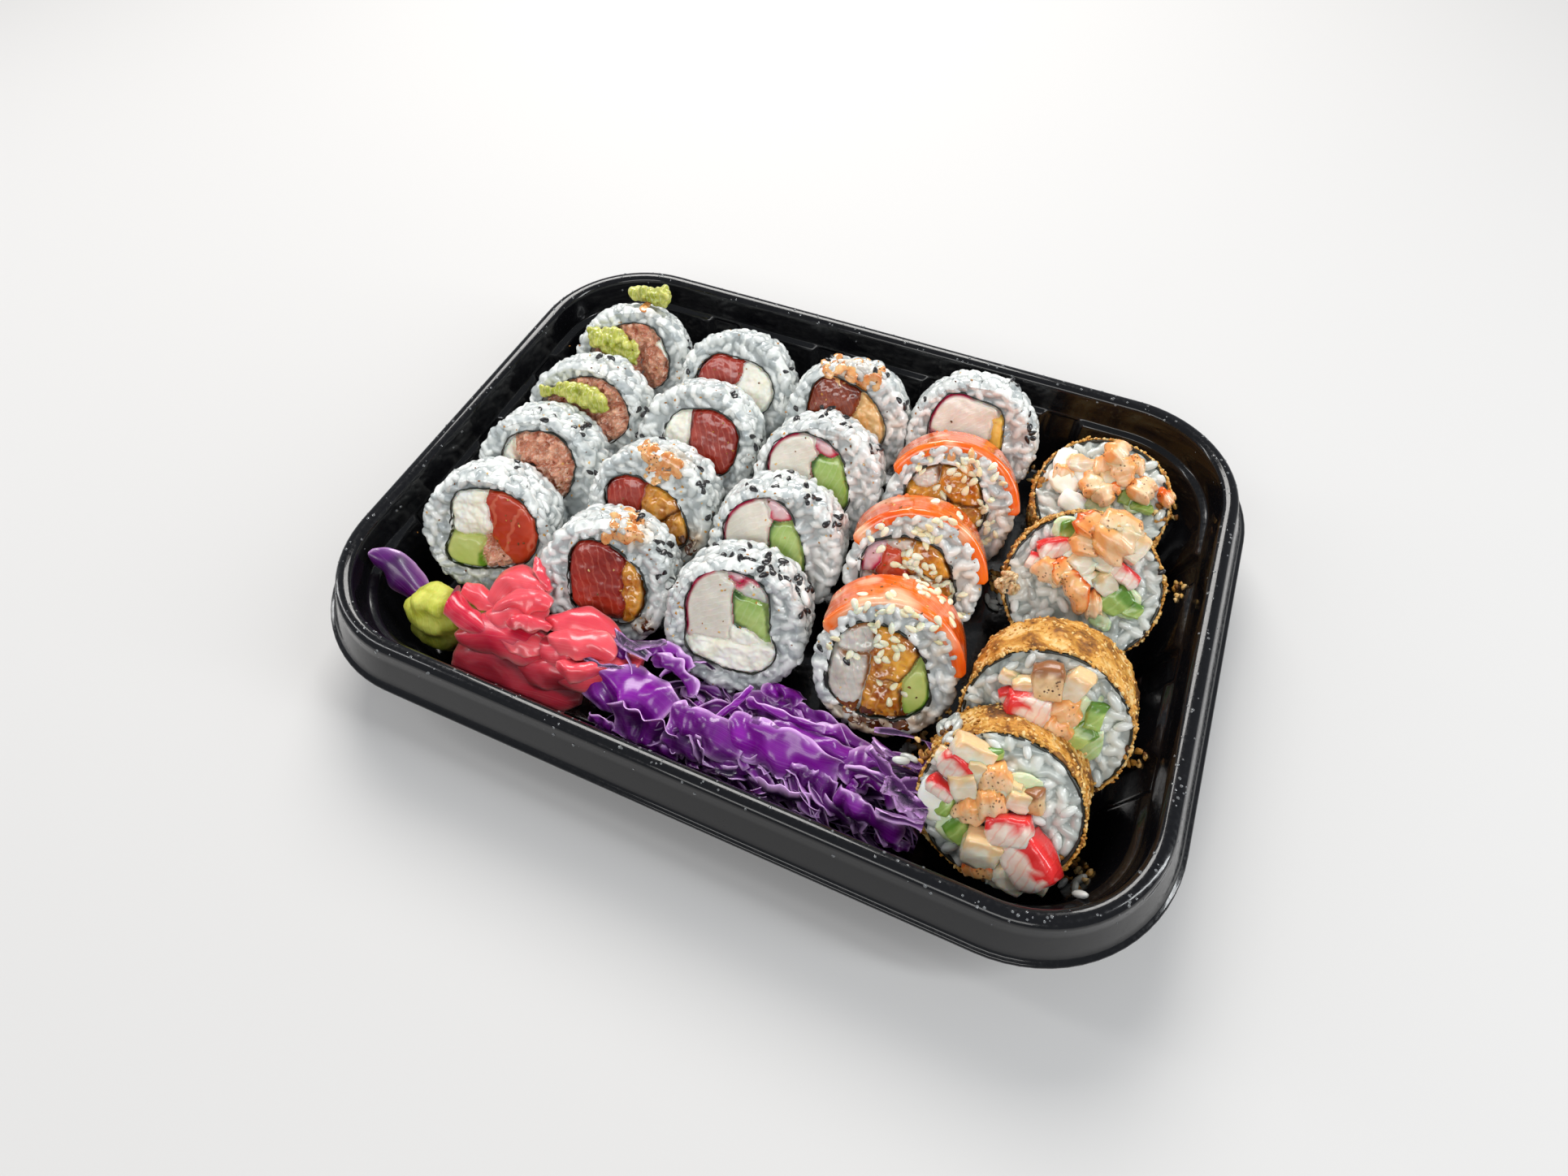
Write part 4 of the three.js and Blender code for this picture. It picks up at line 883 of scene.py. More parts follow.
def salmon_slice(roll, tree, seed):
    """A draped slab. Returns vertices, faces and how much fat shows at each."""
    columns, rows, first, sweep = 110, 42, 8, 144
    inner, outer, length = roll["radius"] - 4.0, roll["radius"] + 0.1, roll["length"] - 1.1
    points, fat = [], []
    for side, reach in ((0, outer), (1, inner)):
        for i in range(columns + 1):
            angle = math.radians(first + sweep * i / columns)
            for j in range(rows + 1):
                depth = -0.3 - length * j / rows
                thin = 1 - min(1, min(i, columns - i, j * 1.4) / 4)
                away = reach + (inner + 2.4 - reach) * thin * thin * (1 - side)
                away += 0.35 * noise_at(4 * angle, depth * 0.2, seed) * (1 - side)
                spot = (away * math.cos(angle), away * math.sin(angle) - roll["slice"] / 2 + 0.9, depth)
                points.append(spot)
                run = depth * 1.0 + 2.2 * math.sin(2.2 * angle + seed) + 6 * angle
                line = math.sin(run * 1.7 + 2 * noise_at(angle * 3, depth * 0.15, seed))
                pale = noise_at(angle * 2.6, depth * 0.14, 5 + seed) * 3.2 - 0.8
                fat.append(max(0, (line - 0.88) * 4) * 0.5 + max(0, min(1, pale)) * 0.85)
    layer, kept, proud = (columns + 1) * (rows + 1), in_place(roll, points), 0.25
    for index, point in enumerate(kept[:layer]):
        surface, normal, _, _ = tree.find_nearest(point)
        if (Vector(point) - surface).dot(normal) > proud:
            kept[index] = surface + normal * proud
    return kept, slab_faces(columns, rows), np.clip(fat, 0, 1)


food("raw_salmon", (238, 88, 2), (254, 122, 22), 70, 0.22, skin=(252, 200, 160), relief=0.3, coat=(0.6, 0.1),
     under=0.15)

for order, name in enumerate(("d2", "d3", "d4")):
    node = f"salmon_slice_{name}"
    vertices, faces, fat = salmon_slice(ROLLS[name], solid_tree(node), 1.7 * order)
    piece = add_piece(f"salmon_{name}", vertices, faces, FOODS["raw_salmon"], "salmon", {"skin": fat})
    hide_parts(node)

# ----------------
# The fried rolls: a coat of golden crumbs round seaweed and glassy rice. The
# coat is rough all over and stands up as a rim round the cut face.

FRIED = {
    "e1": {"at": (88, 51), "lean": 70, "turn": -3, "radius": 23.8, "length": 22},
    "e2": {"at": (89.3, 9), "lean": 49, "turn": -2, "radius": 25, "length": 24},
    "e3": {"at": (90, -39), "lean": 33, "turn": -2, "radius": 25, "length": 24},
    "e4": {"at": (85.5, -65), "lean": 41, "turn": -2, "radius": 23.8, "length": 20},
}


def crust_shell(roll, tree, seed):
    """The coat from its lip on the face, round the side, to its lip behind."""
    around, steps, radius, length = 150, 20, roll["radius"], roll["length"]
    profile = [(radius - 3.0, -2.2), (radius - 2.8, -1.2), (radius - 2.4, -0.5), (radius - 1.7, -0.2),
               (radius - 1.0, -0.3), (radius - 0.5, -0.8)]
    profile += [(radius - 0.3, -1.6 - (length - 3.2) * i / steps) for i in range(steps + 1)]
    profile += [(radius - 0.9, -length + 0.7), (radius - 2.0, -length + 0.4), (radius - 3.0, -length + 0.9)]
    angles, tones = 2 * math.pi * np.arange(around) / around, []
    loops = np.concatenate([circle(reach, angles, depth) for reach, depth in profile])
    points, normals = keep_within(tree, in_place(roll, loops), 0.2)
    for index, point in enumerate(points):
        place = Vector(point) + Vector((seed, 0, 0))
        crumbs = noise.voronoi(place * 0.75)[0][0]
        fine = noise.noise(place * 1.9)
        broad = noise.noise(place * 0.16)
        points[index] = point - normals[index] * (0.6 * min(1, crumbs) + 0.3 * fine + 0.35 * broad)
        # The tone: broad and fine patches at random, and darker where the coat sinks between crumbs, as painted shade.
        tones.append(0.5 + 0.9 * broad + 0.35 * fine + 0.3 * (0.5 - crumbs))
    return points, stitch(len(profile), around), np.clip(tones, 0, 1)


def crust_material():
    """Fried crumbs, from pale to burnt by the tone of each spot; on the coat that tone is also lower in the gaps
    between crumbs, as painted shade.
    """
    material = new_material("crust", linear(196, 132, 60), 0.5, Subsurface_Weight=0.1, Subsurface_Scale=0.001)
    tree, grain = material.node_tree, add_noise(material.node_tree, 620, 4, Roughness=0.65)
    ramp = add_ramp(tree, (0, linear(84, 50, 16)), (0.3, linear(150, 96, 34)), (0.55, linear(200, 138, 54)),
                    (0.78, linear(226, 172, 88)), (1, linear(240, 204, 140)))
    shader = add_bump(tree, grain, "Fac", 0.7, 0.0007)
    wire(tree, (cloudy_tone(tree, grain, 0.9, 0.42), "Value", ramp, "Fac"), (ramp, "Color", shader, "Base Color"))
    return material


def crumb_places(roll, tree, count, chance):
    """Where crumbs stick to the coat: on its side and along its two lips."""
    places = []
    for _ in range(count):
        angle = chance.uniform(0, 2 * math.pi)
        reach = roll["radius"] - (0.3 if chance.random() < 0.8 else chance.uniform(0.4, 2.6))
        depth = -chance.uniform(0.6, roll["length"] - 0.8) if reach > roll["radius"] - 0.35 else -0.5
        places.append((reach * math.cos(angle), reach * math.sin(angle), depth))
    return keep_within(tree, in_place(roll, places), 0.55)


def glassy_face(roll, side, chance):
    """The pressed rice of a fried roll's cut face, from its rim to the middle."""
    count, step = (230, 0.55) if side > 0 else (120, 0.9)
    base = -1.6 if side > 0 else 1.6 - roll["length"]
    angles = 2 * math.pi * np.arange(count) / count
    loops = [circle(reach, angles, base) for reach in np.arange(roll["radius"] - 2.7, 0.4, -step)]
    surface = in_place(roll, np.concatenate(loops))
    inner = roll["radius"] - 3.2
    seeds = in_place(roll, [(a, b, base) for a, b in spread(lambda a, b: math.hypot(a, b) < inner, inner, 2.6, chance)])
    looks = side * roll["axes"][2]
    points, tones = pressed_grains(surface, looks[None], seeds, np.tile(looks, (len(seeds), 1)), (3.0, 1.55, 1.5),
                                   chance)
    faces = stitch(len(loops), count)
    faces.extend((len(points) - count + i, len(points) - count + (i + 1) % count, len(points)) for i in range(count))
    return np.concatenate((points, in_place(roll, [(0, 0, base + side * 0.5)]))), faces, np.append(tones, 0.5)


CRUMB = ball_shape(5, 4, lambda x, y, z: (1.0 * x + 0.3 * z * y, 0.7 * y + 0.35 * x * x, 0.55 * z))
crust = crust_material()
glassy_rice = rice_material("glassy_rice", linear(146, 156, 152), linear(236, 239, 230), 0.5)
crumb_count, band_count = 1100, 90

for order, (name, roll) in enumerate(FRIED.items()):
    settle(roll)
    chance = random.Random(300 + order)
    tree = solid_tree(f"roll_{name}")
    vertices, faces, tones = crust_shell(roll, tree, 11 * order)
    shell = add_piece(f"crust_{name}", vertices, faces, crust, "crust", {"tone": tones})
    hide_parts(f"roll_{name}")
    vertices, faces, copy = strew(CRUMB, *crumb_places(roll, tree, crumb_count, chance), chance, (0.3, 0.95), 0.6)
    tones = np.array([chance.uniform(0.35, 1.0) for _ in range(crumb_count)])
    add_piece(f"crumbs_{name}", vertices, faces, crust, "crust", {"tone": tones[copy]})
    for side, word in ((1, "front"), (-1, "back")):
        vertices, faces, tones = glassy_face(roll, side, chance)
        add_piece(f"face_{name}_{word}", vertices, faces, glassy_rice, "rice", {"tone": tones, "stain": 0 * tones})
    loose = spread(lambda a, b: math.hypot(a, b) < roll["radius"] - 4.2, roll["radius"], 5.5, chance)
    vertices, faces, copy = strew(GRAIN, in_place(roll, [(a, b, -0.7) for a, b in loose]),
                                  [roll["axes"][2]] * len(loose), chance, (0.9, 1.2), 0.45)
    tones = np.array([chance.uniform(0.3, 1) for _ in loose])[copy]
    add_piece(f"loose_rice_{name}", vertices, faces, glassy_rice, "rice", {"tone": tones, "stain": 0 * tones})
    angles, loops = 2 * math.pi * np.arange(band_count) / band_count, []
    wavy = np.array([0.35 * noise_at(3 * x, 3 * y, order) for x, y, _ in circle(1, angles, 0)])
    for inset, depth in ((2.6, -2.5), (2.7, -0.7), (3.1, -0.45), (3.5, -0.8), (3.5, -2.5)):
        loops.append(circle(roll["radius"] - inset + wavy, angles, depth + 0.2 * np.sin(7 * angles + order)))
    add_piece(f"seaweed_{name}", in_place(roll, np.concatenate(loops)), stitch(5, band_count), seaweed, "crust")

# ----------------
# The toppings of the fried rolls: shrimp, crab stick, onion and greens, cut
# rough and heaped by hand on each face, with specks of burnt spice.

food("seared_shrimp", (232, 176, 122), (250, 222, 184), 120, 0.3, ((246, 176, 116), 120, 0.2, (20, 40, 0)),
     skin=(244, 168, 98), specks=0.8, relief=0.4, coat=(0.4, 0.15), under=0.35)
food("orange_shrimp", (236, 142, 66), (250, 196, 134), 110, 0.26, ((252, 220, 190), 130, 0.3, (0, 60, 30)),
     skin=(232, 104, 30), specks=0.8, relief=0.4, coat=(0.5, 0.12), under=0.35)
food("onion", (224, 208, 180), (246, 238, 218), 110, 0.24, ((252, 248, 238), 150, 0.2, (0, 0, 70)),
     skin=(236, 200, 150), relief=0.3, coat=(0.4, 0.12), under=0.5)
food("red_crab", (236, 206, 188), (250, 236, 224), 120, 0.26, ((244, 150, 130), 150, 0.35, (0, 0, 20)),
     skin=(228, 52, 52), relief=0.3, coat=(0.45, 0.12), under=0.35)
food("greens", (132, 164, 70), (184, 208, 120), 110, 0.3, ((206, 226, 150), 120, 0.3, (0, 0, 40)),
     skin=(100, 142, 52), relief=0.3, coat=(0.4, 0.03), under=0.35)
food("lettuce", (170, 196, 128), (222, 232, 190), 100, 0.3, ((236, 242, 214), 130, 0.3, (0, 0, 40)), relief=0.3,
     coat=(0.5, 0.1), under=0.5)
food("burnt", (206, 160, 104), (240, 210, 164), 130, 0.35, skin=(150, 96, 56), specks=1, relief=0.4, coat=(0.3, 0.03),
     under=0.3)

# Per piece: kind, across, up, height over the face, length, width, turn.
TOPPINGS = {
    "e1": (("cream_cheese", -15, 8, 0.5, 8, 10, 20), ("cream_cheese", -13, 1, 0.7, 10, 8, -20),
           ("cream_cheese", -8, 7, 0.6, 8, 9, 50), ("cream_cheese", -8, -5, 0.4, 9, 7, 0),
           ("lettuce", 11, 2, 0.3, 8, 6, 20), ("lettuce", -1, -3, 0.1, 9, 5, 0),
           ("seared_shrimp", -1, 14, 7.5, 9, 7, 80), ("seared_shrimp", 2.7, 9, 5.5, 9, 7.5, -50),
           ("seared_shrimp", -3, 9.5, 4, 7, 6.5, 20), ("seared_shrimp", -4.5, 3, 2.5, 9.5, 7, 110),
           ("seared_shrimp", -0.5, 0.5, 3, 9, 7, -40), ("seared_shrimp", 10.5, 6, 3, 8.5, 8, 70),
           ("orange_shrimp", 2, 3, 3.5, 5, 4, 0), ("onion", -10.5, 8, 1.2, 9, 5.5, 10),
           ("greens", 6.5, 3, 1.2, 4, 6, 0), ("orange_shrimp", 18.5, 7, 0.8, 5, 6, 60),
           ("greens", 12.5, 1, 0.4, 7, 3, 10), ("seared_shrimp", 5.5, 13, 3.5, 6, 6, 0), ("onion", 1, 6, 2, 8, 7, 30),
           ("seared_shrimp", -14.5, 3, 0.8, 7, 6, 0)),
    "e2": (("lettuce", -10.5, 15, 0.3, 8, 7, 30), ("lettuce", 13, 0, 0.4, 8, 9, 0), ("lettuce", 8, -7, 0.2, 8, 5, -20),
           ("orange_shrimp", -5.2, 18.5, 6, 8, 7, 60), ("seared_shrimp", -4.2, 13.5, 5.5, 9, 7.5, 100),
           ("seared_shrimp", 3.4, 17, 5.5, 13, 12, 70), ("seared_shrimp", 3, 22, 7, 11, 7, 0),
           ("red_crab", -11.5, 8.5, 2, 10, 6, 30), ("red_crab", -15.5, 3, 1.2, 5, 4.5, 0),
           ("seared_shrimp", -10.3, 1.5, 3, 10, 7, -20), ("orange_shrimp", -6.5, 4, 3.5, 10, 6.5, 40),
           ("orange_shrimp", -1.6, -1, 3, 14, 6.5, -50), ("onion", -2.6, 7.5, 4, 6.5, 7, 60),
           ("onion", 2.1, 9.7, 4, 6, 6, 0), ("red_crab", 9, 8, 3, 10, 5, -25), ("onion", 5.5, 4, 2.8, 6, 7, 50),
           ("onion", 1.5, 4, 2.5, 7, 5, 0), ("greens", 10, 0, 1.6, 7, 9, -30), ("onion", 9.5, 16, 2.5, 5, 9, -20),
           ("onion", -6, 9.5, 3, 5, 5, 0), ("seared_shrimp", 5, -3.2, 2.2, 5, 8, 20),
           ("greens", -9, 14, 0.6, 5, 8, 20), ("greens", 15, -1, 0.5, 6, 5, 0),
           ("seared_shrimp", 0, 13, 2.5, 9, 8, 0)),
    "e3": (("lettuce", 8, 8, 0.4, 7, 13, -10), ("lettuce", 12, 1, 0.2, 7, 10, 10),
           ("burnt", -3.8, 14.5, 2.8, 8, 10, 20), ("red_crab", -5.7, 5, 3.5, 10, 11.5, 100),
           ("seared_shrimp", 3.5, 8, 3, 8, 7, -30), ("seared_shrimp", 3, 2.8, 3, 9, 7.5, -20),
           ("onion", 2.5, 15.5, 1.6, 6, 11, -20), ("onion", -8, 10, 1.4, 8, 6, 20),
           ("red_crab", -11, 6, 1.2, 6, 4, 30), ("onion", -13, 10.5, 0.6, 5, 4, 0), ("greens", 9, 2.5, 1.4, 6, 9, -35),
           ("red_crab", -11, 0.8, 1, 3.5, 3, 0), ("greens", 10.5, 9, 0.4, 5, 8, 0), ("onion", -2, 9, 1.6, 6, 5, 0)),
    "e4": (("cream_cheese", -16, -4, 0.4, 9, 12, 20), ("cream_cheese", -9, 1, 0.4, 9, 10, 0),
           ("cream_cheese", -12, 10, 0.3, 9, 7, 30), ("lettuce", -9, -10, 0.4, 8, 9, 60),
           ("lettuce", 3, 9, 0.2, 9, 8, 0), ("red_crab", -14, 8, 1.8, 9, 8, -30),
           ("red_crab", -15.5, 0, 1.4, 8, 4.5, -10), ("onion", -11.5, 13.5, 1.6, 11, 6, -10),
           ("greens", -6.3, 15, 1.8, 5, 3, 20), ("onion", -17, 8.5, 0.8, 5, 5, 0), ("onion", -9, 9, 2.2, 5.5, 7, 0),
           ("onion", -10.5, 4, 2.2, 7, 7.5, 30), ("seared_shrimp", -3.4, 9, 2.4, 8, 8, 0),
           ("seared_shrimp", -2.3, 2.5, 3, 7.5, 9, 20), ("seared_shrimp", -6.4, -2.5, 2.6, 7.5, 7.5, -20),
           ("burnt", 6.8, 7, 1.4, 5, 7, 20), ("onion", 3.2, 6, 2.2, 6.5, 6, 0), ("red_crab", 4, -2, 4, 12, 8, 25),
           ("red_crab", 11.5, -8, 3.4, 14, 12, -40), ("onion", -0.5, -10.5, 3.2, 10, 9.5, 5),
           ("orange_shrimp", 1, -16.5, 2.8, 9, 5, 20), ("onion", 9, -14.5, 2.4, 9, 8, -20),
           ("onion", 6, -17.5, 2, 6, 4, 0), ("greens", -7.5, -9.5, 0.8, 6, 8, 60), ("onion", 15, -13, 1.8, 6, 7, 0),
           ("onion", 0, 7.5, 1.4, 6, 6, 0), ("greens", -13, -3, 0.6, 4, 9, 0)),
}


def chopped_piece(kind, size, seed):
    """One rough-cut piece lying along X, with its skin or curl."""
    bm = bmesh.new()
    bmesh.ops.create_cube(bm, size=2)
    bmesh.ops.subdivide_edges(bm, edges=bm.edges, cuts=7, use_grid_fill=True)
    bm.verts.index_update()
    shrimp = kind in ("seared_shrimp", "orange_shrimp")
    square = {"onion": 0.62, "red_crab": 0.5, "greens": 0.55, "burnt": 0.5}.get(kind, 0.22)
    points, skin = [], []
    for vertex in bm.verts:
        point = vertex.co.normalized().lerp(vertex.co, square)
        if shrimp:
            swell = 1 + 0.13 * math.cos(7.5 * point.x) - 0.18 * point.x
            point = Vector((point.x, point.y * swell - 0.35 * point.x * point.x + 0.12, point.z * swell))
        point = Vector((point.x * size[0], point.y * size[1], point.z * size[2])) / 2
        shift = noise.noise_vector(point * 0.3 + Vector((seed, 0, 0))) * 0.7
        shift += noise.noise_vector(point * 0.9 + Vector((0, seed, 0))) * 0.18
        points.append(tuple(point + shift))
        skin.append(max(0.0, min(1.0, 2.4 * vertex.co.y + 2 * noise.noise(point * 0.4) - 0.2)))
    faces = [[vertex.index for vertex in face.verts] for face in bm.faces]
    bm.free()
    return np.array(points), faces, skin


def tumbled(points, turn, pitch, bank):
    """Turns points about Z, after tipping them about X and Y, in degrees."""
    spin = Matrix.Rotation(math.radians(turn), 3, "Z") @ Matrix.Rotation(math.radians(pitch), 3, "Y")
    return points @ np.array(spin @ Matrix.Rotation(math.radians(bank), 3, "X")).T


# Above this height in millimetres a heap is pressed down by this share.
lid, squeeze = 54, 0.45
for order, (name, pieces) in enumerate(TOPPINGS.items()):
    chance = random.Random(400 + order)
    kinds = {}
    for number, (kind, a, b, lift, long, wide, turn) in enumerate(pieces):
        deep = 0.45 * (long + wide) * {"greens": 0.5, "lettuce": 0.25, "cream_cheese": 0.35}.get(kind, 0.8)
        points, faces, skin = chopped_piece(kind, (long * 1.08, wide * 1.08, deep), 13 * order + number)
        points = tumbled(points, turn, chance.uniform(-18, 18), chance.uniform(-18, 18))
        placed = in_place(FRIED[name], points + (a, b, lift * 0.85))
        placed[:, 2] -= squeeze * np.maximum(placed[:, 2] - lid, 0)
        kinds.setdefault(kind, []).append((placed, faces, skin))
    for kind, parts in kinds.items():
        vertices, faces = combine([part[:2] for part in parts])
        skin = np.concatenate([part[2] for part in parts])
        add_piece(f"{kind}_{name}", vertices, faces, FOODS[kind], "chopped", {"skin": skin})
    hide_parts(f"topping_{name}")

# ----------------
# The avocado mash: soft yellow-green pulp in small folded lumps, spooned on
# the faces of two rolls and on top of the hindmost one.


def inner_places(tree, node, depth, spacing, chance):
    """Places spread through a solid, each at least depth under its surface."""
    low, high = (np.array(corner) * 1000 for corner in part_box(node))
    places = np.zeros((0, 3))
    for _ in range(int(14 * np.prod((high - low) / spacing) + 200)):
        point = low + (high - low) * np.array([chance.random() for _ in range(3)])
        surface, normal, _, _ = tree.find_nearest(point)
        if (Vector(point) - surface).dot(normal) > -depth:
            continue
        if len(places) and np.min(np.sum((places - point) ** 2, axis=1)) < spacing * spacing:
            continue
        places = np.vstack((places, point))
    return places


def welded(vertices, faces, voxel, rounds):
    """Overlapping lumps as one skin: remeshed in voxels and then smoothed."""
    mesh = bpy.data.meshes.new("lumps")
    mesh.from_pydata(np.asarray(vertices).tolist(), [], faces)
    lumps = bpy.data.objects.new("lumps", mesh)
    bpy.context.collection.objects.link(lumps)
    remesh = lumps.modifiers.new("remesh", "REMESH")
    remesh.mode, remesh.voxel_size = "VOXEL", voxel
    smooth = lumps.modifiers.new("smooth", "SMOOTH")
    smooth.iterations = rounds
    whole = lumps.evaluated_get(bpy.context.evaluated_depsgraph_get()).to_mesh()
    points = np.array([vertex.co[:] for vertex in whole.vertices])
    polygons = [list(polygon.vertices) for polygon in whole.polygons]
    bpy.data.objects.remove(lumps)
    return points, polygons


def lumpy(node, radius, spacing, seed, voxel, rounds, size=(0.7, 1.3), flat=0.85):
    """A CAD solid's room filled with welded lumps of about one size."""
    chance, tree = random.Random(seed), solid_tree(node)
    places = inner_places(tree, node, radius * 0.7, spacing, chance)
    ball = ball_shape(10, 7, lambda x, y, z: (radius * x, radius * flat * y, radius * flat * z))
    normals = [(chance.gauss(0, 1), chance.gauss(0, 1), chance.gauss(0, 1)) for _ in places]
    vertices, faces, _ = strew(ball, places, normals, chance, size)
    return welded(vertices, faces, voxel, rounds)


food("mash", (150, 158, 40), (216, 214, 112), 240, 0.26, ((238, 234, 170), 220, 0.3, (10, 10, 0)), relief=0.8,
     coat=(0.4, 0.15))
for order, node in enumerate(("avocado_mash_a1", "avocado_mash_a2", "avocado_mash_top")):
    vertices, faces = lumpy(node, radius=1.7, spacing=1.75, seed=500 + order, voxel=0.42, rounds=1, size=(0.6, 1.4))
    mash = add_piece(f"{node}_lumps", vertices, faces, FOODS["mash"], "mash")
    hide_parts(node)

# ----------------
# The wasabi: a firm green ball of paste, pressed by hand, with a dry torn
# skin. It leans in the corner against the ginger.

food("wasabi", (166, 172, 44), (208, 208, 92), 150, 0.6, ((206, 208, 104), 190, 0.2, (40, 20, 0)), relief=0.5)
vertices, faces = lumpy("wasabi", radius=3.6, spacing=2.6, seed=510, voxel=0.55, rounds=16)
vertices = np.array([tuple(Vector(point) + noise.noise_vector(Vector(point) * 0.22) * 0.9
                           + noise.noise_vector(Vector(point) * 1.3) * 0.14) for point in vertices])
foot, swell = np.array((-94, -68, 1.6)), (1.16, 1.12, 1.1)
wasabi = add_piece("wasabi_ball", (vertices - foot) * swell + foot, faces, FOODS["wasabi"], "wasabi")
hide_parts("wasabi")

# ----------------
# The pickled ginger: thin pink slices, wet and limp, crumpled into one pile
# of folded petals in front of the first two rolls.


def ribbon(spine, width, roll, cup, ruffle, thick, seed, taper, columns, rows, waves=5):
    """A thin sheet along a bent line of three points: cup bends it across,
    ruffle waves its edges. Returns vertices, faces, 1 on its cut edges, and
    how far across it each point is."""
    start, middle, end = (Vector(point) for point in spine)
    control = 2 * middle - (start + end) / 2
    tops, bottoms, edges, grain = [], [], [], []
    for i in range(columns + 1):
        s = i / columns
        place = start * (1 - s) ** 2 + control * 2 * s * (1 - s) + end * s * s
        tangent = ((control - start) * (1 - s) + (end - control) * s).normalized()
        across = tangent.cross(Vector((0, 0, 1))).normalized()
        twist = math.radians(roll) + 0.7 * noise_at(1.8 * s, seed, 3)
        across = (Matrix.Rotation(twist, 3, tangent) @ across).normalized()
        normal = across.cross(tangent).normalized()
        reach = 0.5 * width * math.sin(math.pi * (0.04 + 0.92 * s)) ** taper
        reach *= 1 + 0.3 * noise_at(4 * s, seed, 0)
        for j in range(rows + 1):
            u = 2 * j / rows - 1
            wave = noise_at(waves * s, 0.9 * u, seed + 20) * (0.4 + abs(u) ** 1.5)
            lift = -cup * u * u * reach + ruffle * (2.2 * wave + 0.3 * math.sin(17 * s - 3 * u + 2 * seed))
            lift += 0.05 * width * noise_at(3 * s, 1.4 * u, seed)
            point = place + across * (u * reach * (1 - 0.2 * abs(cup))) + normal * lift
            half = 0.5 * thick * (1 - 0.35 * u ** 8)
            tops.append(tuple(point + normal * half))
            bottoms.append(tuple(point - normal * half))
            edges.append(max(abs(u) ** 9, abs(2 * s - 1) ** 30))
            grain.append(u * reach + 1.5 * noise_at(2 * s, seed, 9) + 7 * seed)
    return np.array(tops + bottoms), slab_faces(columns, rows), np.array(edges + edges), np.array(grain + grain)


def within_tray(points, low, high):
    """Keeps points in a box, and off the tray's sloping front wall."""
    points = np.clip(points, low, high)
    foot, foot_height, slope, clear = -79.3, 3.6, 0.254, 0.9
    points[:, 1] = np.maximum(points[:, 1], foot - slope * (points[:, 2] - foot_height) + clear)
    return points


def pile_of(name, sheets, material, node):
    """Sheets within one node's box as one piece, each sheet given as its tone,
    how pale its cut edges are, and its ribbon."""
    low, high = (np.array(corner) * 1000 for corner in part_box(node))
    vertices, faces = combine([(within_tray(sheet[0], low, high), sheet[1]) for _, _, sheet in sheets])
    values = {"tone": np.concatenate([np.full(len(sheet[0]), tone) for tone, _, sheet in sheets]),
              "edge": np.concatenate([sheet[2] * pale for _, pale, sheet in sheets]),
              "grain": np.concatenate([sheet[3] for _, _, sheet in sheets])}
    return add_piece(name, vertices, faces, material, node, values)


def sheet_material(name, dark, light, edge, weight, coat, fibres, fibre_amount):
    """Thin moist plant sheet: each piece its own tone, fibres along it, and a
    pale rim where it is cut. In the cabbage heap the lower tones of the inner
    strips are painted shade."""
    material = new_material(name, light, 0.3, Subsurface_Weight=weight, Subsurface_Scale=0.002,
                            Coat_Weight=coat, Coat_Roughness=0.12)
    tree, cloud = material.node_tree, add_noise(material.node_tree, 110, 3)
    rim = add_node(tree, "Attribute", attribute_name="edge")
    grain = add_node(tree, "Attribute", attribute_name="grain")
    mix, veined, rimmed = add_mix(tree, dark, light), add_mix(tree, second=edge), add_mix(tree, second=edge)
    lines = add_node(tree, "TexNoise", {"Scale": fibres, "Detail": 2}, noise_dimensions="1D")
    thin = add_node(tree, "MapRange", {"From Min": 0.5, "From Max": 0.75, "To Max": fibre_amount})
    shader = add_bump(tree, lines, "Fac", 0.25, 0.00012)
    wire(tree, (grain, "Fac", lines, "W"), (cloudy_tone(tree, cloud, 0.9, 0.45), "Value", mix, "Factor"),
         (lines, "Fac", thin, "Value"), (thin, "Result", veined, "Factor"), (mix, "Result", veined, "A"),
         (rim, "Fac", rimmed, "Factor"), (veined, "Result", rimmed, "A"), (rimmed, "Result", shader, "Base Color"))
    return material


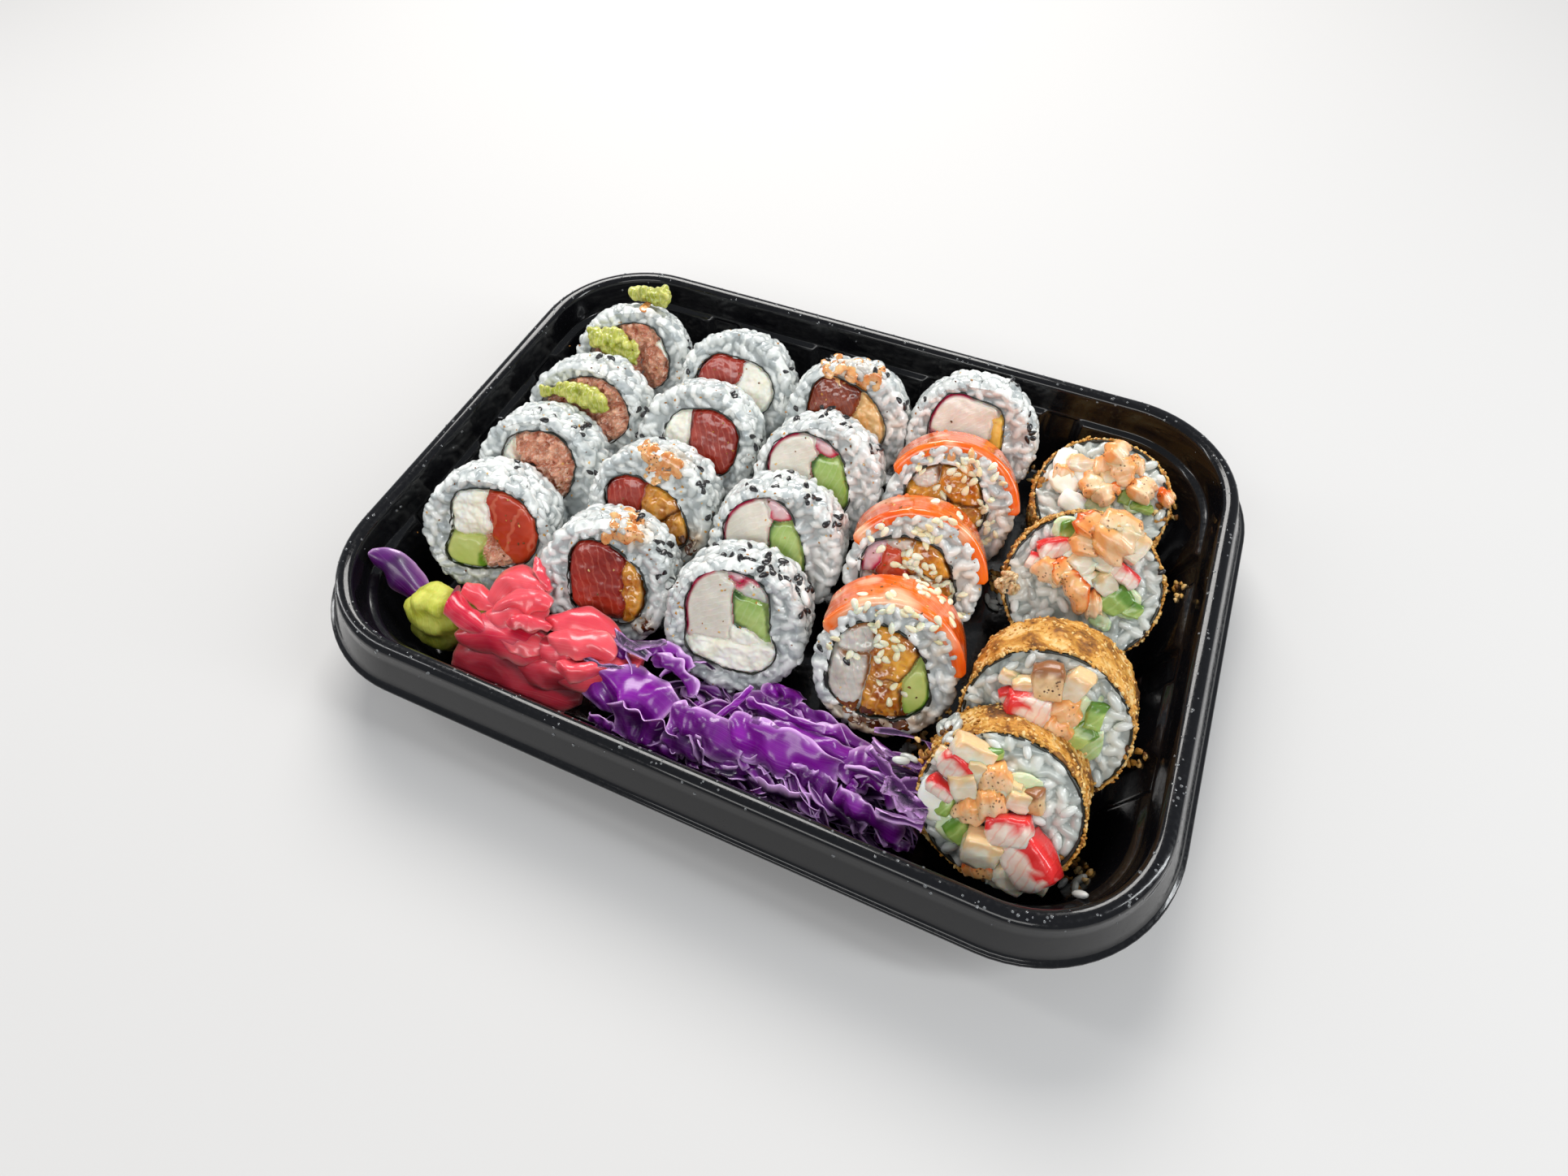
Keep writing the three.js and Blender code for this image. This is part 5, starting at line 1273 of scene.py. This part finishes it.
# Three points of each slice's middle line, its width, roll, cup, and tone.
GINGER = (
    (((-83.5, -77.9, 18), (-62.4, -77.5, 20), (-39.4, -72.7, 16)), 21, 28, 0.35, 0.35),
    (((-71, -80.5, 11), (-56, -79.8, 12.5), (-44.6, -77.8, 10)), 10, 20, 0.3, 0.55),
    (((-84, -74, 14), (-70, -77, 15), (-52, -78, 12)), 16, 35, 0.3, 0.3),
    (((-82.5, -73.8, 25), (-66, -70.2, 30), (-52.3, -68.7, 26)), 17, 12, 0.55, 0.25),
    (((-90.8, -63.2, 33), (-83, -68.6, 31.5), (-71.3, -71, 29)), 9, 0, 0.7, 0.1),
    (((-88.3, -60.7, 30), (-79, -61.8, 30.5), (-72.5, -62.8, 29)), 9, 0, 0.6, 0.6),
    (((-75, -66.3, 29), (-65.5, -63.3, 33), (-56.4, -59.9, 30)), 15, 10, 0.5, 0.7),
    (((-76.5, -63.8, 29), (-69.1, -54.3, 36.5), (-59.4, -53.6, 32)), 17, -8, 0.6, 0.8),
    (((-72, -66, 31), (-64, -60, 36), (-56, -58, 33)), 11, 14, 0.55, 0.75),
    (((-67.4, -46, 36.5), (-63.6, -49.7, 36.5), (-58.5, -53.5, 34)), 4, -20, 0.5, 0.45),
    (((-65.1, -68.4, 33.5), (-59.7, -64.9, 35.5), (-52.3, -63.6, 32)), 7, -25, 0.9, 0.5),
    (((-66, -72.6, 28.5), (-58.8, -71, 29.5), (-51.5, -68.2, 27)), 7, 30, 0.3, 0.95),
    (((-57, -61, 29.5), (-45.4, -57.6, 32), (-33.3, -56.8, 27)), 12, -12, 0.5, 0.65),
    (((-52, -66.3, 31), (-41, -64.2, 32.5), (-31.5, -63.5, 27.5)), 12, 8, 0.6, 0.8),
    (((-47, -73.4, 23.5), (-34, -68.4, 25.5), (-22.1, -58.8, 22)), 14, 30, 0.4, 0.6),
    (((-46.2, -72.4, 28.5), (-39, -71.8, 30), (-32, -67.4, 27)), 9, 20, 0.95, 0.7),
    (((-56, -70, 27), (-47, -68, 30), (-40, -66, 28)), 12, 20, 0.6, 0.4),
    (((-60, -75, 22), (-48, -74, 25), (-36, -70, 21)), 14, 35, 0.5, 0.5),
)

ginger_pink = sheet_material("ginger_pink", linear(200, 14, 58), linear(250, 88, 98), linear(252, 170, 165),
                             0.35, 0.45, 2.6, 0.14)
slices = [(tone, 0.5, ribbon(spine, width, roll, cup, ruffle=0.4, thick=0.6, seed=3.7 * number, taper=0.4,
                             columns=46, rows=18))
          for number, (spine, width, roll, cup, tone) in enumerate(GINGER)]
ginger = pile_of("ginger_slices", slices, ginger_pink, "ginger")
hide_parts("ginger")

# ----------------
# The red cabbage: shredded raw, stiff curled strips, violet on their faces
# and pale lilac where they are cut. They fill the front of the tray in a
# loose tangle, and one piece of leaf leans in the left corner.

# Three points of each large strip's middle line, its width, roll and cup.
CABBAGE = (
    (((-34, -76.1, 20), (-25.4, -70.4, 25), (-9.7, -72.6, 24)), 16, 25, 0.4),
    (((-24.8, -77.5, 19), (-14.7, -77.6, 21), (-5.4, -80.1, 16)), 14, 40, -0.4),
    (((-22.3, -58.6, 25), (-13, -60.3, 26.5), (-6.5, -64.1, 23)), 7, 60, 0.9),
    (((-22.8, -58, 26), (-16.7, -56, 26.5), (-10.2, -58, 25)), 6, 70, 1.0),
    (((9, -69.6, 26), (22.7, -70.3, 25.5), (42.8, -69, 21)), 14, 38, 0.15),
    (((-8, -74, 25), (1.5, -73.1, 25.5), (15.2, -73.8, 22.5)), 12, 35, 0.3),
    (((44.4, -69.5, 21), (50, -65.6, 23.5), (59.6, -70.4, 18)), 13, 42, 0.7),
    (((4.3, -67.9, 25), (8.5, -62.2, 27.5), (10.4, -56.2, 28.5)), 2.2, 40, 0.3),
    (((9.7, -59.3, 24), (19.5, -60.3, 25), (34.7, -59.2, 24.5)), 4, 60, 0.4),
    (((-3, -76.3, 19), (8.9, -79.4, 19.5), (18.6, -76.8, 19)), 6, 50, 0.4),
    (((23.9, -78.2, 15), (34.7, -77.4, 17), (50.1, -78, 12.5)), 9, 52, 0.4),
    (((43.5, -74.8, 19), (52.1, -76.4, 19.5), (64.5, -77.2, 14)), 9, 50, 0.5),
    (((15.4, -56.4, 25), (18.9, -53, 27.5), (24.9, -53.5, 25)), 9, 30, 0.7),
    (((-32.9, -80.2, 18), (-27.1, -81, 19), (-23.4, -81, 16)), 4, 60, 0.2),
    (((-20.7, -79.6, 16), (-10.9, -81.5, 17), (-2.8, -80.5, 17)), 6, 55, 0.3),
    (((16.5, -76.8, 17.5), (26.3, -75.5, 18.5), (34.5, -75.7, 15.5)), 5, 55, 0.4),
    (((57.5, -77.8, 12), (62.3, -77.6, 12), (67.6, -77, 11)), 4, 50, 0.3),
    (((28.3, -73.1, 21), (35.8, -73.6, 19.5), (43.6, -73.3, 19)), 9, 48, 0.2),
    (((-39.5, -64.4, 25), (-34, -62.5, 26.5), (-29, -61, 25)), 6, 30, 0.5),
    (((-4.4, -66, 21.5), (-1.8, -66, 22.5), (0.5, -67, 19.5)), 5, 20, 0.6),
    (((47.3, -68.4, 22.5), (47.6, -72.4, 21.5), (53.6, -73.7, 20)), 4, 20, 0.8),
    (((-8.8, -78, 20.5), (2.1, -77.8, 21.5), (12.7, -78.1, 18.5)), 8, 48, 0.3),
    (((20, -64, 24), (32, -64, 24.5), (46, -62, 21)), 8, 20, 0.5),
    (((50, -61, 22), (58, -64, 21), (66, -72, 16)), 7, 30, 0.6),
    (((6, -60, 19), (17, -57, 22), (28, -60, 18)), 9, 25, 0.6),
    (((20, -58, 18), (30, -55, 20), (41, -60, 17)), 8, 15, -0.5),
    (((30, -62, 21), (40, -58, 20), (52, -60, 16)), 8, 35, 0.7),
)
cabbage_violet = sheet_material("cabbage_violet", linear(30, 0, 46), linear(126, 0, 148), linear(226, 176, 236),
                                0.05, 0.3, 2.4, 0.08)
chance = random.Random(600)
tree = solid_tree("cabbage")
shreds = [(spine, width, roll, cup, 0.4 + 0.6 * chance.random(), 12) for spine, width, roll, cup in CABBAGE]
# The strips that fill the heap's inside get darker tones than the large ones on top, as painted shade in the tangle.
for place in inner_places(tree, "cabbage", 1.2, 3.9, chance):
    heading, length = chance.uniform(-0.8, 0.7), chance.uniform(5, 13)
    along = Vector((math.cos(heading), math.sin(heading), chance.uniform(-0.25, 0.25))) * length
    middle = Vector(place) + Vector((0, chance.uniform(-4, 4), chance.uniform(-1, 5)))
    shreds.append(((Vector(place) - along, middle, Vector(place) + along), chance.uniform(1.6, 5.5),
                   chance.uniform(-80, 80), chance.uniform(-1.2, 1.2), 0.75 * chance.random(), 5))
strips = [(tone, 1, ribbon(spine, width, roll, cup, ruffle=0.14 * width, thick=0.5, seed=2.3 * number, taper=0.16,
                           columns=3 * rows + 1, rows=rows, waves=6))
          for number, (spine, width, roll, cup, tone, rows) in enumerate(shreds)]
heap = pile_of("cabbage_shreds", strips, cabbage_violet, "cabbage")
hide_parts("cabbage")

low, high = (np.array(corner) * 1000 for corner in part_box("cabbage_leaf"))
vertices, faces, edge, grain = ribbon(((-119, -64.5, 35), (-109, -66, 29.5), (-100, -67.5, 20)), 13, 30, 0.6,
                                      ruffle=0.35, thick=0.5, seed=7, taper=0.6, columns=40, rows=14)
leaf = add_piece("cabbage_leaf_piece", np.clip(vertices, low, high), faces, cabbage_violet, "cabbage",
                 {"tone": [0.3] * len(vertices), "edge": edge * 0.6, "grain": grain})
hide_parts("cabbage_leaf")

# ----------------
# Loose pieces that fell beside the rolls: a clump of tempura batter and a
# lump of shrimp with rice.

food("tempura", (206, 164, 104), (244, 226, 186), 330, 0.45, ((150, 104, 50), 420, 0.5, (30, 10, 50)), relief=1.2,
     coat=(0.3, 0.03))
vertices, faces = lumpy("tempura_crumb", radius=1.5, spacing=1.9, seed=520, voxel=0.42, rounds=1, size=(0.6, 1.4),
                        flat=0.55)
tempura = add_piece("tempura_clump", vertices, faces, FOODS["tempura"], "crumb")
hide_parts("tempura_crumb")

vertices, faces = lumpy("shrimp_piece", radius=1.9, spacing=2.1, seed=521, voxel=0.45, rounds=1, flat=0.7)
shrimp_lump = add_piece("shrimp_lump", vertices, faces, FOODS["seared_shrimp"], "crumb")
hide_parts("shrimp_piece")

# ----------------
# Cream sauce on the rice, browned with a burner: thin patches that run into
# each other, with burnt specks. Beside them dark sweet sauce has pooled.

# What falls comes from a hand held here, in millimetres.
HAND = Vector((66, -149, 245))


def surface_tree(*starts):
    """The faces of the pieces whose names start like this, as one tree."""
    vertices, faces = [], []
    for piece in bpy.data.objects:
        if piece.name.startswith(starts):
            first = len(vertices)
            vertices.extend(tuple(vertex.co * 1000) for vertex in piece.data.vertices)
            faces.extend(tuple(first + index for index in polygon.vertices) for polygon in piece.data.polygons)
    return BVHTree.FromPolygons(vertices, faces)


def strewn(name, spots, chance, spacing=0.0, lift=0.0, drop=24):
    """Where things fall that a hand above the tray's front lets go. A spot is
    across and up a roll's face, its reach and how many fall there. None falls
    further behind the face than drop."""
    roll, places, normals = (ROLLS | FRIED)[name], [], []
    for a, b, reach, count in spots:
        for _ in range(count):
            angle, away = chance.uniform(0, 2 * math.pi), reach * math.sqrt(chance.random())
            aim = in_place(roll, (a + away * math.cos(angle), b + away * math.sin(angle), 0))
            way = (Vector(aim) - HAND).normalized()
            place, normal, _, _ = ground.ray_cast(HAND, way)
            if place is None or on_face(roll, place)[2] < -drop or any(
                    (place - other).length < spacing for other in places):
                continue
            normal = normal * (-1 if normal.dot(way) > 0 else 1) - way * 0.5
            places.append(place + normal.normalized() * lift)
            normals.append(normal.normalized())
    return places, normals


def sprinkle(name, slot, shape, material, table, seed, size=(0.85, 1.15), **options):
    """Everything of one kind that fell, as one piece."""
    chance, places, normals = random.Random(seed), [], []
    for roll, spots in table.items():
        found = strewn(roll, spots, chance, **options)
        places.extend(found[0])
        normals.extend(found[1])
    vertices, faces, copy = strew(shape, places, normals, chance, size)
    tones = np.array([chance.random() for _ in places])[copy]
    return add_piece(name, vertices, faces, material, slot, {"tone": tones, "stain": 0 * tones, "skin": 0 * tones})


LANDING = ("rice_", "fillings_", "salmon_", "crust_", "face_", "cabbage_shreds", "tray_shell")
ground = surface_tree(*LANDING)
food("browned_cream", (206, 120, 52), (248, 196, 136), 260, 0.2, specks=1, relief=0.4, coat=(0.8, 0.08), under=0.4)
PATCH = ball_shape(10, 6, lambda x, y, z: (2.2 * x, 1.7 * y, 0.45 * z))
PATCHES = {
    "browned_cream": {"a1": ((8, 20, 3, 3),), "b3": ((4, 16, 6, 24), (0, 20, 4, 8)),
                      "b4": ((9, 19, 6, 26), (4, 16, 3, 5)), "c1": ((0, 20, 7, 24), (9, 19, 4, 8), (-7, 19, 3, 5)),
                      "d2": ((1, 15, 5, 7),)},
    "soy_pool": {"b3": ((14, -8, 3, 7),), "b4": ((13, -12, 3, 7),),
                 "d4": ((-2, -16, 4, 18), (7, -14, 3, 7), (-8, -14, 3, 7))},
}
for kind, lift, size in (("browned_cream", -0.25, (0.6, 1.25)), ("soy_pool", -0.4, (0.6, 1.1))):
    chance, parts = random.Random(700 + len(kind)), []
    for name, spots in PATCHES[kind].items():
        parts.append(strew(PATCH, *strewn(name, spots, chance, 0.8, lift), chance, size)[:2])
    vertices, faces = welded(*combine(parts), voxel=0.34, rounds=3)
    add_piece(f"{kind}_patches", vertices, faces, FOODS[kind], "chopped", {"skin": [0] * len(vertices)})

# ----------------
# Sesame: flat pointed seeds, 3.2 mm long. Black ones roll up with the rice,
# toasted white ones are strewn over the sliced rolls and their fillings.

SEED = ball_shape(9, 6, lambda x, y, z: (1.65 * x, (0.98 - 0.36 * x) * y, 0.48 * z))
ground = surface_tree(*LANDING, "browned_cream_patches", "soy_pool_patches")
sesame_black = food("black_sesame", (16, 15, 17), (44, 41, 42), 500, 0.3, relief=0.2, coat=(0.4, 0.03), under=0)
sesame_white = food("white_sesame", (244, 222, 174), (255, 248, 226), 180, 0.32, relief=0.2, coat=(0.3, 0.03),
                    under=0.35)
sprinkle("sesame_black", "crumb", SEED, sesame_black, {
    "a1": ((22, 7, 2, 2), (8, 25, 4, 2)), "a2": ((22, 7, 2, 4), (9, 25, 4, 4), (20, -3, 2, 2)),
    "a3": ((-6, 25, 4, 4), (6, 24, 4, 4), (17, 17, 4, 6), (21, 4, 3, 3)), "a4": ((14, 23, 5, 3),),
    "b1": ((7, 25, 5, 3), (21, 10, 3, 2)), "b2": ((21, 5, 3, 6), (15, 20, 4, 6), (-2, 25, 5, 3)),
    "b3": ((18, 14, 4, 7), (21, 2, 2, 5), (4, 26, 4, 3)), "b4": ((19, 14, 3, 9), (20, 4, 3, 6), (12, 24, 3, 3)),
    "c1": ((11, 23, 4, 7), (20, 12, 4, 7), (-8, 24, 3, 3)),
    "c2": ((0, 25, 4, 6), (10, 23, 4, 7), (19, 14, 4, 6), (-10, 22, 3, 3)),
    "c3": ((0, 25, 4, 7), (10, 22, 4, 9), (18, 15, 4, 8), (-10, 22, 3, 3)),
    "c4": ((1, 25, 4, 8), (10, 22, 4, 14), (18, 17, 4, 16), (21, 8, 2, 3), (-8, 24, 4, 3)),
    "d1": ((9, 24, 4, 5), (17, 17, 3, 7), (20, 8, 3, 4), (-18, 15, 3, 3)), "d4": ((-11, 1, 1, 1), (-20, 4, 2, 1)),
    "e2": ((20, 12, 2, 1),)}, 710, (0.72, 1.0), spacing=1.5, lift=0.15)
sprinkle("sesame_white", "crumb", SEED, sesame_white, {
    "d1": ((6, -6, 5, 5), (12, -10, 3, 3)),
    "d2": ((3, 13, 6, 12), (-10, 14, 3, 3), (-4, 5, 4, 5), (11, 2, 5, 12), (15, -6, 3, 4), (2, -2, 4, 4)),
    "d3": ((-1, 5, 5, 22), (5, 1, 5, 26), (12, -2, 4, 14), (2, 15, 6, 10), (-12, 12, 4, 4), (15, -9, 3, 4)),
    "d4": ((2, 19, 6, 12), (11, 15, 4, 6), (-5, 12, 4, 6), (1, 7, 5, 14), (-9, 3, 3, 3), (3, -5, 5, 6),
           (-16, 6, 2, 3), (-8, 19, 4, 5))}, 720, spacing=1.3, lift=0.2)
crumb_specks = {name: ((0, 4, 24, 26),) for name in ROLLS}
sprinkle("spice_specks", "crumb", CRUMB, crust, crumb_specks, 730, (0.25, 0.55), lift=0.1)
sprinkle("fallen_crumbs", "crumb", CRUMB, crust, {
    "e4": ((-24, 8, 4, 34), (22, -8, 5, 26), (-20, 18, 3, 14)), "e2": ((-23, -6, 4, 24), (24, 8, 3, 12)),
    "e1": ((-22, 0, 4, 16), (20, 2, 4, 18)), "e3": ((24, 2, 3, 16), (-22, -14, 4, 14)), "d4": ((22, -16, 3, 10),)},
    740, (0.6, 1.5), lift=0.3, drop=60)
sprinkle("fallen_rice", "rice", GRAIN, glassy_rice, {
    "e4": ((-27, 4, 3, 7), (24, -12, 3, 4)), "e2": ((-22, -12, 3, 4),), "d4": ((22, -14, 4, 6),),
    "e3": ((-22, -10, 2, 4),)}, 750, (0.75, 1.0), lift=0.8, drop=60)

# ----------------
# Moisture on the tray: fine drops of water that stand on its rim.

chance, shell = random.Random(760), surface_tree("tray_shell")
count, half_length, half_width, rim_height, places, normals = 420, 134, 99, 33, [], []
while len(places) < count:
    above = Vector((chance.uniform(-half_length, half_length), chance.uniform(-half_width, half_width), 80))
    place, normal, _, _ = shell.ray_cast(above, Vector((0, 0, -1)))
    if place and place.z > rim_height:
        places.append(place)
        normals.append(normal if normal.z > 0 else -normal)
DROP = ball_shape(8, 6, lambda x, y, z: (0.4 * x, 0.4 * y, 0.22 * z))
vertices, faces, _ = strew(DROP, places, normals, chance, size=(0.3, 1.3), tilt=0)
drop_water = new_material("drop_water", (0.85, 0.88, 0.9), 0.04, Transmission_Weight=0.85, IOR=1.33)
add_piece("rim_drops", vertices, faces, drop_water, "tray")
